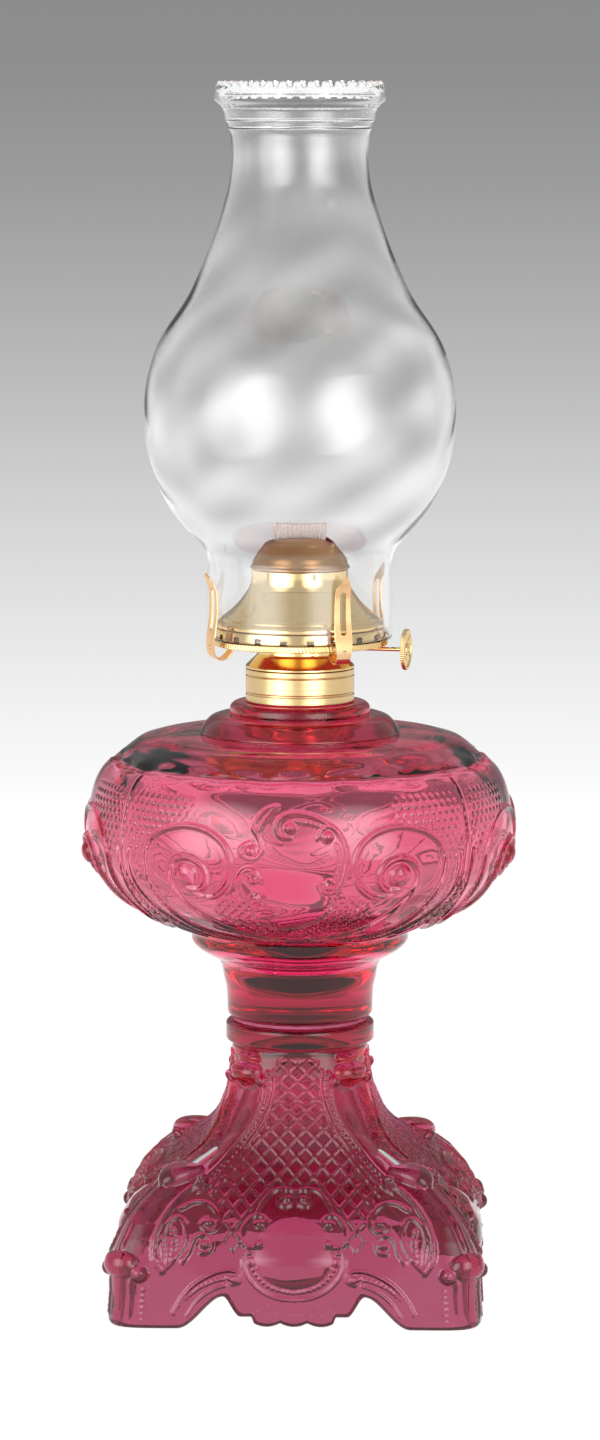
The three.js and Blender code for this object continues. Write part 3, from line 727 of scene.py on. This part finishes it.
CHIMNEY_BODY = [
    (38, 304.5), (38.4, 308.5), (41.5, 312.6), (45.8, 316.9), (52.6, 325.1), (57, 333), (60.1, 341.2),
    (62.5, 349.6), (63.7, 357.8), (64, 365.9), (63.4, 374.1), (62.3, 380.4), (60.6, 386.6), (58.6, 392.4),
    (55.6, 398), (52, 403.4), (48.5, 408.3), (45.2, 413.6), (42.3, 419.7), (39.6, 426), (37.2, 431.7),
    (34.9, 437.8), (32.7, 444.6), (30.7, 451.3), (28.9, 457.8), (28, 465.5), (27.8, 471.5), (28.4, 478.4),
]
CHIMNEY_NECK = [
    (28.4, 478.4), (28.9, 480.2), (29.5, 480.6), (29.8, 483.4), (30.6, 484), (31.3, 488.4), (32.6, 490.2),
    (34.9, 492), (35.4, 494.6), (34.6, 496.6), (CROWN, CHIMNEY_TOP - 2.2),
]


def chimney(material):
    foot = [(38, CHIMNEY_SEAT), (38, 290), (38, 304.5)]
    body = np.vstack([evenly(foot, 1.2)[:-1], smooth(CHIMNEY_BODY, 1.2)])
    neck = filleted(CHIMNEY_NECK, 1.0, 0.5, closed=False)
    outer = np.vstack([body[:-1], neck])
    inner = beside(outer, CHIMNEY_WALL)[:-6]
    near_top = inner[:, 1] > CHIMNEY_TOP - 22
    inner[near_top, 0] = np.minimum(inner[near_top, 0], CROWN - 2.1)
    crown = smooth([outer[-1], (31.6, CHIMNEY_TOP - 2.4), (30.9, CHIMNEY_TOP - 4.2), inner[-1]], 0.5)[1:-1]
    profile = np.vstack([outer, crown, inner[::-1]])
    grid = around(profile, CHIMNEY_COLUMNS)
    angles = np.arange(CHIMNEY_COLUMNS) * FULL / CHIMNEY_COLUMNS
    span = FULL * CROWN / BEADS
    along = (((angles * BEADS / FULL) + 0.5) % 1 - 0.5) * span
    out = profile[:, :1] - (CROWN - 0.4)
    ball = np.sqrt(np.clip(1.9**2 - along[None] ** 2 - out**2, 0, None))
    on_top = between(CHIMNEY_TOP - 6, CHIMNEY_TOP - 3, profile[:, 1:])
    grid[..., 2] += ball * on_top * 1.15
    grid[..., 2] = np.minimum(grid[..., 2], CHIMNEY_TOP)
    inner_share = (np.arange(len(profile)) > len(outer))[:, None]
    waves = ripple(grid, 0.16, 21) * between(300, 330, profile[:, 1:]) * between(486, 470, profile[:, 1:])
    grid += normals_of(grid) * (waves * inner_share)[..., None]
    made = mesh_object("chimney_glass", *grid_parts(grid, loop_rows=True))
    return finish_piece(made, "chimney", "clear_glass", material, "chimney")


# ---------- brass turnings ----------

BRASS_COLUMNS = 192
COLLAR_RADIUS = 22.4
COLLAR_SEAT = 246.8
COLLAR_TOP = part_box("brass_collar")[1].z / MM
GALLERY_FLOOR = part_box("gallery_ring")[0].z / MM
GALLERY_RADIUS = 36.2
THREAD_RADIUS = 15.8
BURNER_NECK = 17.3
SHEET = 0.6
KNURLS = 150
VENTS = 20
WICK_ANGLE = math.radians(-11)


def scored(z, line):
    """Depth of a fine turned line at each height."""
    return 0.35 * np.exp(-(((z - line) / 0.22) ** 2))


def brass_collar(material):
    inner = COLLAR_RADIUS - 0.9
    bore = THREAD_RADIUS + 0.5
    outline = [
        (inner, COLLAR_SEAT), (COLLAR_RADIUS, COLLAR_SEAT), (COLLAR_RADIUS, COLLAR_TOP), (bore, COLLAR_TOP),
        (bore, 256.9), (inner, 256.9),
    ]
    profile = filleted(outline, 0.35, 0.16)
    outside = profile[:, 0] > COLLAR_RADIUS - 0.05
    for line in (COLLAR_SEAT + 3.4, COLLAR_SEAT + 3.9, COLLAR_TOP - 2.5):
        profile[:, 0] -= scored(profile[:, 1], line) * outside
    made = turned("collar", profile, BRASS_COLUMNS)
    return finish_piece(made, "stand", "satin_brass", material, "brass_collar")


def burner_thimble(material):
    seat = COLLAR_TOP + 0.25
    under = GALLERY_FLOOR - 0.25
    thread = np.array([
        (THREAD_RADIUS - 0.35 * math.cos(turn), 249.8 + turn / FULL * 1.3)
        for turn in np.linspace(0, 7.5 * FULL, 90)
    ])
    outline = [
        *thread, (THREAD_RADIUS, seat), (COLLAR_RADIUS, seat), (COLLAR_RADIUS, seat + 0.9), (18, 265.6),
        (BURNER_NECK, 266.6), (BURNER_NECK, under), (BURNER_NECK - SHEET, under), (BURNER_NECK - SHEET, 266),
        (COLLAR_RADIUS - 1.4, seat + SHEET), (THREAD_RADIUS - 1.1, seat + SHEET),
        (THREAD_RADIUS - 1.1, 249.8),
    ]
    made = turned("burner_thimble", filleted(outline, 0.3, 0.5), BRASS_COLUMNS)
    sleeve_room = turn_about_z(rod_points(1.9, 12, 20, 24), WICK_ANGLE)
    cut(made, [mesh_object("room", sleeve_room, prism_faces(24))])
    return finish_piece(made, "burner", "polished_brass", material, "burner_body")


SHAFT_OFFSET = 4.7
SHAFT_HEIGHT = 268.3


def rod_points(radius, start, end, sides):
    """A rod along X at the winder's place, before it is turned to the wick's direction."""
    turns = np.arange(sides) * FULL / sides
    ring = np.stack([radius * np.cos(turns) + SHAFT_OFFSET, radius * np.sin(turns) + SHAFT_HEIGHT], axis=1)
    return np.vstack([np.c_[np.full(sides, x), ring] for x in (start, end)])


def gallery(material):
    floor, radius = GALLERY_FLOOR, GALLERY_RADIUS
    outline = [
        (BURNER_NECK + 0.4, floor), (radius - 1.5, floor), (radius, floor + 0.3), (radius, floor + 2.5),
        (radius - 0.5, floor + 3.0), (35.3, floor + 3.1), (34.9, floor + 6.0), (34.7, floor + 7.2),
        (34.0, floor + 7.2), (34.3, floor + 3.2), (34.6, floor + SHEET), (BURNER_NECK + 0.4, floor + SHEET),
    ]
    profile = anticlockwise(filleted(outline, 0.35, 0.3))
    columns = KNURLS * 6
    grid = around(profile, columns)
    angles = np.arange(columns) * FULL / columns
    milled = between(0.15, 0.5, profile[:, 1:] - floor) * between(2.7, 2.3, profile[:, 1:] - floor)
    milled = milled * (profile[:, :1] > radius - 0.3)
    twist = np.cos(KNURLS * angles[None] + (profile[:, 1:] - floor) * 1.6)
    grid += normals_of(grid) * (0.16 * milled * (twist - 1))[..., None]
    made = mesh_object("gallery", *grid_parts(grid, loop_rows=True))
    vents = []
    for i in range(VENTS):
        outline = slot_outline(3.4, 1.8, 7)
        vertices, faces = prism_parts(outline, 33, 36.6)
        x, y, z = vertices.T
        upright = np.stack([x, -z, y + floor + 4.7], axis=1)
        vertices = turn_about_z(upright, (i + 0.5) * FULL / VENTS)
        vents.append((vertices, faces))
    cut(made, [mesh_object("vents", *joined(vents))])
    return finish_piece(made, "burner", "polished_brass", material, "gallery_ring")


SKIRT_LINE = [
    (34.4, 277.6), (34.5, 279.0), (33.7, 280.2), (32.6, 280.3), (32.2, 281.6), (31, 282.2), (30.2, 283.1),
    (28.8, 284), (26.9, 285.8), (24.4, 288.4), (22.6, 291), (21.1, 293.2), (20.2, 295.6), (19.8, 298.2),
    (19.7, 301.2),
]
DOME_LINE = [
    (20.1, 301.5), (20.5, 301.9), (20.3, 302.6), (19.8, 303), (19.3, 304.6), (18.5, 307.2), (17, 309.7),
    (14.4, 312), (11.2, 313.3), (6.5, 313.9), (0.8, 314),
]


def deflector_skirt(material):
    line = filleted(SKIRT_LINE, 0.7, 0.35, closed=False)
    made = turned("deflector_bell", np.vstack([line, beside(line, SHEET)[::-1]]), BRASS_COLUMNS)
    return finish_piece(made, "burner", "polished_brass", material, "deflector_skirt")


def deflector_dome(material):
    line = filleted(DOME_LINE, 0.6, 0.35, closed=False)
    shell = np.vstack([line, beside(line, SHEET)[::-1]])
    made = turned("deflector_cap", shell, BRASS_COLUMNS)
    outline = slot_outline(27.4, 7.2, 12)
    vertices, faces = prism_parts(outline, 304, 320)
    cut(made, [mesh_object("flame_slot", turn_about_z(vertices, WICK_ANGLE), faces)])
    return finish_piece(made, "burner", "polished_brass", material, "deflector_dome")


# ---------- prongs ----------

PRONG_ANGLES = [-62, 34, 118, 208]  # about the axis from +X, unevenly spaced as the strips were bent
# The strip's section: places across as shares of its half width, and through as shares of its half thickness.
PRONG_SECTION = [
    (-1, 0.45), (-0.97, 1), (0.97, 1), (1, 0.45), (1, -0.45), (0.97, -1), (-0.97, -1), (-1, -0.45),
]
PRONG_LINE = [
    (42.9, 301.8), (41.8, 299.4), (40.4, 297.0), (39.1, 294), (38.8, 290), (38.9, 284), (39.5, 279),
    (40.2, 274), (40.3, 270), (39.4, 267.3), (37.4, 266), (35, 266.2), (33.2, 267.6), (31.8, 269.2),
]


def prong_half_width(z, share):
    """Half the strip's width along its length: a point at the tip, then two legs, then a wider plate."""
    upright = np.interp(z, [262, 274, 280, 295, 296.5, 299.5, 301.6], [3.7, 4.0, 3.9, 3.4, 3.3, 1.9, 0.35])
    return np.where(share > 0.62, np.interp(share, [0.62, 0.8, 1], [3.9, 3.0, 2.6]), upright)


def prong(index, degrees, material):
    line = smooth(PRONG_LINE, 0.3)
    back = beside(line, SHEET)
    share = np.linspace(0, 1, len(line))
    half = prong_half_width(line[:, 1], share)
    sections = []
    for front_point, back_point, w in zip(line, back, half):
        middle = (front_point + back_point) / 2
        lift = (front_point - back_point) / 2
        ring = []
        for side, depth in PRONG_SECTION:
            r, z = middle + lift * depth
            ring.append((w * side, -r, z))
        sections.append(ring)
    vertices, faces = grid_parts(np.array(sections), poles=True)
    made = mesh_object(f"prong_spring_{index}", vertices, faces)
    cutters = []
    outline = slot_outline(17.6, 2.7, 10)
    upright = np.stack([-outline[:, 1], outline[:, 0]], axis=1)
    for shape, middle in ((upright, 286.2), (slot_outline(1.7, 1.68, 10), 270.8)):
        vertices, faces = prism_parts(shape, 30, 46)
        x, y, z = vertices.T
        cutters.append(mesh_object("hole", np.stack([x, -z, y + middle], axis=1), faces))
    cut(made, cutters)
    made.data.transform(Matrix.Rotation(math.radians(degrees + 90), 4, "Z"))
    return finish_piece(made, f"prong_{index}", "spring_brass", material, f"prong_{index}")


# ---------- wick and winder ----------


FRAY_THREADS = 150


def wick(material):
    low, high = (corner.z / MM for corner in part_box("wick"))
    outline = slot_outline(22.0, 1.9, 8)
    ring = evenly(np.vstack([outline, outline[:1]]), 0.22)[:-1]
    ribs = 0.2 * np.cos(ring[:, 0] * FULL / 1.37)
    bulge = ring.copy()
    bulge[:, 1] += np.sign(ring[:, 1]) * ribs * (np.abs(ring[:, 1]) > 0.6)
    rows = []
    for z in np.r_[np.linspace(low, 300, 16), np.linspace(300.6, high - 1.2, 34)]:
        weave = 1 + 0.025 * math.sin(z * FULL / 1.1)
        rows.append(np.c_[bulge[:, 0], bulge[:, 1] * weave, np.full(len(bulge), z)])
    for shrink, drop in ((1, 0.75), (0.9, 0.45), (0.6, 0.5), (0.25, 0.6)):
        ragged = rng.uniform(-0.28, 0.28, len(bulge)) * (drop < 0.7)
        rows.append(np.c_[bulge[:, 0], bulge[:, 1] * shrink, high - drop + ragged * 0.8])
    vertices, faces = grid_parts(np.array(rows), poles=True)
    made = mesh_object("cotton_wick", turn_about_z(vertices, WICK_ANGLE), faces)
    return finish_piece(made, "wick", "cotton", material, "wick")


def wick_fray(material):
    """Loose thread ends along the wick's cut top."""
    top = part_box("wick")[1].z / MM
    threads = []
    for _ in range(FRAY_THREADS):
        start = np.array([rng.uniform(-10.7, 10.7), rng.uniform(-0.9, 0.9), top - 1.3])
        lean = np.array([rng.normal(0, 0.25), rng.normal(0, 0.3), rng.uniform(0.5, 1.2)])
        path = [start + lean * t + np.array([0, 0, -0.25]) * t * t for t in np.linspace(0, 1, 5)]
        rings = []
        for i, centre in enumerate(path):
            radius = 0.09 * (1 - 0.15 * i)
            turns = np.arange(5) * FULL / 5
            rings.append([centre + radius * np.array([math.cos(a), math.sin(a), 0]) for a in turns])
        threads.append(grid_parts(np.array(rings), poles=True))
    vertices, faces = joined(threads)
    vertices[:, 2] = np.minimum(vertices[:, 2], top)
    made = mesh_object("wick_threads", turn_about_z(vertices, WICK_ANGLE), faces)
    return finish_piece(made, "wick", "cotton", material)


def along_winder(profile, columns):
    """A profile of (radius, distance along the winder) turned round its axis, in the lamp's frame."""
    grid = around(anticlockwise(profile), columns)
    x, y, z = grid[..., 0], grid[..., 1], grid[..., 2]
    laid = np.stack([z, x + SHAFT_OFFSET, y + SHAFT_HEIGHT], axis=-1)
    return turn_about_z(laid.reshape(-1, 3), WICK_ANGLE).reshape(grid.shape)


KNOB_PLACE = 42.6
KNOB_RADIUS = 8.4
KNOB_PETALS = 8
KNOB_OUTLINE = [
    (1.15, -1.2), (2.6, -1.2), (3.0, 0.1), (7.2, 0.1), (KNOB_RADIUS, 0.2), (KNOB_RADIUS, 1.8), (7.3, 1.9),
    (6.9, 1.2), (2.7, 1.2), (2.2, 2.0), (1.15, 2.0),
]


def winder_knob(material):
    profile = anticlockwise(filleted(KNOB_OUTLINE, 0.3, 0.2))
    columns = 240
    angles = np.arange(columns) * FULL / columns
    radius, level = profile[:, :1], profile[:, 1:]
    web = between(3.0, 3.8, radius) * between(7.0, 6.2, radius)
    rosette = np.cos(KNOB_PETALS * angles)[None] * np.sin((radius - 3) / 4 * math.pi)
    dished = 0.35 * web * np.clip(rosette, -0.4, 1)
    milled = 0.14 * (np.cos(60 * angles)[None] - 1) * (radius > KNOB_RADIUS - 0.15)
    front = level > 0.6
    grid_r = radius + milled
    grid_x = level + np.where(front, dished, -dished) + KNOB_PLACE
    grid_y = grid_r * np.sin(angles) + SHAFT_OFFSET
    grid_z = SHAFT_HEIGHT - grid_r * np.cos(angles)
    laid = np.stack([grid_x, grid_y, grid_z], axis=-1)
    placed = turn_about_z(laid.reshape(-1, 3), WICK_ANGLE).reshape(laid.shape)
    made = mesh_object("knob", *grid_parts(placed[::-1], loop_rows=True))
    return finish_piece(made, "winder", "polished_brass", material, "winder_knob")


def winder_shaft(material):
    end = KNOB_PLACE + 2.2
    profile = filleted([(0.02, -9), (0.85, -9), (0.85, end), (0.02, end)], 0.25, 1.5)
    made = mesh_object("winder_rod", *grid_parts(along_winder(profile, 32)[::-1], loop_rows=True))
    return finish_piece(made, "winder", "polished_brass", material, "winder_shaft")


# ---------- materials ----------


def map_range(tree, value, source=(0, 1), target=(0, 1), interpolation="LINEAR"):
    """A value carried from one range to another."""
    made = tree.nodes.new("ShaderNodeMapRange")
    made.interpolation_type = interpolation
    for name, number in zip(("From Min", "From Max", "To Min", "To Max"), (*source, *target)):
        made.inputs[name].default_value = number
    tree.links.new(value, made.inputs["Value"])
    return made.outputs["Result"]


def colour_ramp(tree, value, stops):
    """The colours that a value runs through, as (position, (red, green, blue)) stops."""
    made = tree.nodes.new("ShaderNodeValToRGB")
    tree.links.new(value, made.inputs["Fac"])
    elements = made.color_ramp.elements
    for element, (position, colour) in zip(elements, (stops[0], stops[-1])):
        element.position, element.color = position, (*colour, 1)
    for position, colour in stops[1:-1]:
        elements.new(position).color = (*colour, 1)
    return made.outputs["Color"]


class Shader:
    """A Principled material whose sockets can be driven by nodes."""

    def __init__(self, name, **settings):
        self.material = bpy.data.materials.new(name)
        self.material.use_nodes = True
        self.tree = self.material.node_tree
        self.surface = self.tree.nodes["Principled BSDF"]
        for socket, value in settings.items():
            self.surface.inputs[socket.replace("_", " ")].default_value = value
        self.place = self.node("ShaderNodeTexCoord").outputs["Object"]

    def node(self, kind, **inputs):
        made = self.tree.nodes.new(kind)
        for name, value in inputs.items():
            socket = made.inputs[name.replace("_", " ")]
            if isinstance(value, bpy.types.NodeSocket):
                self.tree.links.new(value, socket)
            else:
                socket.default_value = value
        return made

    def link(self, output, socket):
        self.tree.links.new(output, self.surface.inputs[socket])

    def stretched(self, x, y, z):
        mapping = self.node("ShaderNodeMapping", Vector=self.place)
        mapping.inputs["Scale"].default_value = (x, y, z)
        return mapping.outputs["Vector"]

    def noise(self, scale, detail=3, vector=None):
        made = self.node("ShaderNodeTexNoise", Vector=vector or self.place, Scale=scale, Detail=detail)
        return made.outputs["Fac"]

    def ramp(self, value, stops):
        return colour_ramp(self.tree, value, stops)

    def between_values(self, value, low, high):
        return map_range(self.tree, value, target=(low, high))

    def bump(self, value, strength, distance):
        made = self.node("ShaderNodeBump", Height=value, Strength=strength, Distance=distance)
        self.link(made.outputs["Normal"], "Normal")


STAIN_LIGHT_AND_SHADE_TOP = 0.26  # metres up; the stops of the stain, with its painted shade and painted light, are shares of this height
# The stain's colours by height. The cranberry is the glass's own; the near-black and darker bands are painted
# shade, and the pale pink bands are painted light.
STAIN_LIGHT_AND_SHADE = [
    (0.0, (0.40, 0.07, 0.15)), (0.2, (0.40, 0.06, 0.14)), (0.36, (0.80, 0.18, 0.38)),
    (0.395, (0.95, 0.32, 0.52)), (0.41, (0.20, 0.03, 0.06)), (0.44, (0.20, 0.03, 0.06)),
    (0.46, (0.34, 0.07, 0.17)), (0.52, (0.97, 0.24, 0.50)), (0.62, (0.90, 0.42, 0.55)),
    (0.86, (0.93, 0.49, 0.61)), (0.895, (0.62, 0.10, 0.19)), (1.0, (0.58, 0.08, 0.17)),
]


def stained_glass_and_painted_light():
    """Pressed glass stained cranberry, with painted shade deep in the base, the stem's groove and the font's
    top, and painted light in the pale pink bands between them.
    """
    shader = Shader("stained_glass_and_painted_light", Transmission_Weight=1.0, IOR=1.5, Roughness=0.03)
    height = shader.node("ShaderNodeSeparateXYZ", Vector=shader.place).outputs["Z"]
    level = map_range(shader.tree, height, (0, STAIN_LIGHT_AND_SHADE_TOP))
    cloud = shader.between_values(shader.noise(22, 4), -0.012, 0.012)
    shade = shader.node("ShaderNodeMath")
    shader.tree.links.new(level, shade.inputs[0])
    shader.tree.links.new(cloud, shade.inputs[1])
    # Base colour: the stain with painted shade and painted light by height.
    shader.link(shader.ramp(shade.outputs["Value"], STAIN_LIGHT_AND_SHADE), "Base Color")
    shader.link(shader.between_values(shader.noise(60, 3), 0.01, 0.04), "Roughness")
    shader.bump(shader.noise(140, 2), 0.1, 0.0004)
    depth = shader.node("ShaderNodeVolumeAbsorption", Color=(0.95, 0.2, 0.46, 1), Density=58.0)
    output = next(node for node in shader.tree.nodes if node.type == "OUTPUT_MATERIAL")
    shader.tree.links.new(depth.outputs["Volume"], output.inputs["Volume"])
    return shader.material


def clear_glass():
    shader = Shader("clear_glass", Transmission_Weight=1.0, IOR=1.46, Roughness=0.0)
    tint = shader.ramp(shader.noise(9, 2), [(0.3, (0.985, 0.99, 0.99)), (0.7, (0.995, 0.995, 0.995))])
    shader.link(tint, "Base Color")
    shader.link(shader.between_values(shader.noise(30, 2), 0.0, 0.012), "Roughness")
    return shader.material


def brass(name, colours, roughness, lines):
    """Spun brass: fine rings from the lathe, slight tarnish and small differences in gloss."""
    shader = Shader(name, Metallic=1.0, Roughness=roughness[0])
    cloud = shader.noise(55, 5)
    shader.link(shader.ramp(cloud, [(0.3, colours[0]), (0.75, colours[1])]), "Base Color")
    rings = shader.noise(900, 2, shader.stretched(0.02, 0.02, 1))
    shader.link(shader.between_values(rings, *roughness), "Roughness")
    shader.bump(rings, lines, 0.0002)
    return shader.material


def cotton():
    shader = Shader("cotton", Roughness=0.9, Sheen_Weight=0.4)
    weave = shader.noise(900, 4)
    shader.link(shader.ramp(weave, [(0.3, (0.70, 0.60, 0.55)), (0.6, (0.84, 0.78, 0.74))]), "Base Color")
    shader.bump(weave, 0.6, 0.0003)
    return shader.material


def cement():
    shader = Shader("cement", Roughness=0.85)
    grain = shader.noise(420, 6)
    shader.link(shader.ramp(grain, [(0.3, (0.28, 0.05, 0.10)), (0.7, (0.42, 0.09, 0.16))]), "Base Color")
    shader.bump(grain, 0.4, 0.0003)
    return shader.material


# ---------- studio ----------


def stage():
    """A white floor, just under the feet, that ends where the backdrop starts."""
    half, back, ground = FLOOR_HALF, FLOOR_BACK, FLOOR_HEIGHT
    corners = [(-half, -half, ground), (half, -half, ground), (half, back, ground), (-half, back, ground)]
    floor = mesh_object("floor", corners, [[0, 1, 2, 3]])
    material = bpy.data.materials.new("floor_white")
    material.use_nodes = True
    surface = material.node_tree.nodes["Principled BSDF"]
    surface.inputs["Base Color"].default_value = (0, 0, 0, 1)
    surface.inputs["Specular IOR Level"].default_value = 0
    surface.inputs["Emission Color"].default_value = (1, 1, 1, 1)
    surface.inputs["Emission Strength"].default_value = FLOOR_GLOW
    floor.data.materials.append(material)


# The backdrop behind the lamp: its grey by the sine of a direction's height, from BACKDROP_LOW, where the
# floor's far edge shows in the main view, to BACKDROP_HIGH. Elsewhere it goes from white to SIDE_GREY.
BACKDROP_LOW = -0.1447
BACKDROP_HIGH = 0.169
BACKDROP_GREYS = [
    (0, 1.0), (0.018, 0.95), (0.067, 0.87), (0.13, 0.75), (0.194, 0.63), (0.258, 0.51), (0.322, 0.415),
    (0.387, 0.333), (0.456, 0.275), (0.566, 0.25), (1, 0.22),
]
SIDE_GREY = 0.56
SIDE_SINES = (-0.01, 0.12)  # where the sides start to darken, and where they reach SIDE_GREY
BEHIND_FROM, BEHIND_FULL = 0.8, 0.92  # the direction's share along +Y where the darker backdrop fades in


def backdrop():
    """Surroundings that darken upwards behind the lamp and stay lighter at its sides and in front."""
    world = bpy.data.worlds.new("studio")
    world.use_nodes = True
    tree = world.node_tree
    nodes, links = tree.nodes, tree.links
    split = nodes.new("ShaderNodeSeparateXYZ")
    links.new(nodes.new("ShaderNodeTexCoord").outputs["Generated"], split.inputs["Vector"])
    level = map_range(tree, split.outputs["Z"], (BACKDROP_LOW, BACKDROP_HIGH))
    ramp = colour_ramp(tree, level, [(place, (grey,) * 3) for place, grey in BACKDROP_GREYS])
    beside_lamp = map_range(tree, split.outputs["Z"], SIDE_SINES, (1, SIDE_GREY), "SMOOTHSTEP")
    behind = map_range(tree, split.outputs["Y"], (BEHIND_FROM, BEHIND_FULL), interpolation="SMOOTHSTEP")
    mix = nodes.new("ShaderNodeMix")
    mix.data_type = "RGBA"
    for output, socket in ((behind, 0), (beside_lamp, 6), (ramp, 7)):
        links.new(output, mix.inputs[socket])
    links.new(mix.outputs[2], nodes["Background"].inputs["Color"])
    bpy.context.scene.world = world


SOFTBOX_FADE = (0.5, 0.06)  # shares of the light's size out from its middle: dark, and full strength


def softbox(name, azimuth, distance, height, width, tall, power):
    """A large light in front of the lamp that fades out towards its edges."""
    light = bpy.data.lights.new(name, "AREA")
    light.shape = "RECTANGLE"
    light.size, light.size_y, light.energy = width * MM, tall * MM, power
    light.use_nodes = True
    tree = light.node_tree
    glow = next(node for node in tree.nodes if node.type == "EMISSION")
    spot = tree.nodes.new("ShaderNodeNewGeometry")
    away = tree.nodes.new("ShaderNodeVectorMath")
    away.operation = "DISTANCE"
    away.inputs[1].default_value = (0.5, 0.5, 0)
    tree.links.new(spot.outputs["Parametric"], away.inputs[0])
    fade = map_range(tree, away.outputs["Value"], SOFTBOX_FADE, interpolation="SMOOTHSTEP")
    tree.links.new(fade, glow.inputs["Strength"])
    made = bpy.data.objects.new(name, light)
    turn = math.radians(azimuth)
    place = Vector((distance * math.sin(turn), -distance * math.cos(turn), height))
    made.location = place * MM
    made.rotation_mode = "QUATERNION"
    made.rotation_quaternion = (Vector((0, 0, height)) - place).to_track_quat("-Z", "Y")
    bpy.context.scene.collection.objects.link(made)


def studio():
    softbox("softbox_left", -42, 900, 380, 1300, 1400, 24)
    softbox("softbox_right", 31, 900, 380, 1000, 1400, 18)
    backdrop()
    scene = bpy.context.scene
    scene.view_settings.view_transform = "Standard"
    # Light needs many turns to leave thick pressed glass.
    scene.cycles.max_bounces = 32
    scene.cycles.transmission_bounces = 24
    scene.cycles.glossy_bounces = 7


def camera():
    data = bpy.data.cameras.new("camera")
    data.lens, data.sensor_width = CAMERA_LENS, 36
    data.clip_start, data.clip_end = 0.05, 20
    made = bpy.data.objects.new("camera", data)
    turn = math.radians(CAMERA_AZIMUTH)
    place = Vector((CAMERA_DISTANCE * math.sin(turn), -CAMERA_DISTANCE * math.cos(turn), CAMERA_HEIGHT))
    made.location = place * MM
    made.rotation_euler = (math.radians(90 - CAMERA_PITCH), 0, turn)
    bpy.context.scene.collection.objects.link(made)
    bpy.context.scene.camera = made


def main():
    camera()
    stage()
    studio()
    # Cranberry stained glass, with painted shade and painted light by height.
    cranberry = stained_glass_and_painted_light()
    polished = brass("polished_brass", ((0.80, 0.57, 0.25), (0.88, 0.66, 0.32)), (0.08, 0.2), 0.05)
    satin = brass("satin_brass", ((0.67, 0.48, 0.23), (0.75, 0.55, 0.28)), (0.2, 0.34), 0.25)
    # The dome is polished brass; these darker, browner colours are painted shade.
    brass_with_painted_shade = brass("brass_painted_shade", ((0.40, 0.21, 0.09), (0.60, 0.35, 0.16)), (0.22, 0.40), 0.5)
    springy = brass("spring_brass", ((0.78, 0.46, 0.22), (0.88, 0.56, 0.30)), (0.1, 0.24), 0.1)
    thread = cotton()
    grout = cement()
    glass_base(cranberry)
    glass_font(cranberry)
    chimney(clear_glass())
    brass_collar(satin)
    for make in (burner_thimble, gallery, deflector_skirt, winder_knob, winder_shaft):
        make(polished)
    # The dome takes the brass with painted shade.
    deflector_dome(brass_with_painted_shade)
    for index, degrees in enumerate(PRONG_ANGLES, 1):
        prong(index, degrees, springy)
    wick(thread)
    wick_fray(thread)
    cements = ("joint_cement", "collar_cement")
    wheels = ("spur_wheel_inner", "spur_wheel_outer")
    fittings = ("burner_floor", "air_plate", "wick_tube", *wheels, "shaft_sleeve")
    for nodes, material in ((cements, grout), (fittings, polished)):
        for node in nodes:
            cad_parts[node].data.materials.clear()
            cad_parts[node].data.materials.append(material)


main()
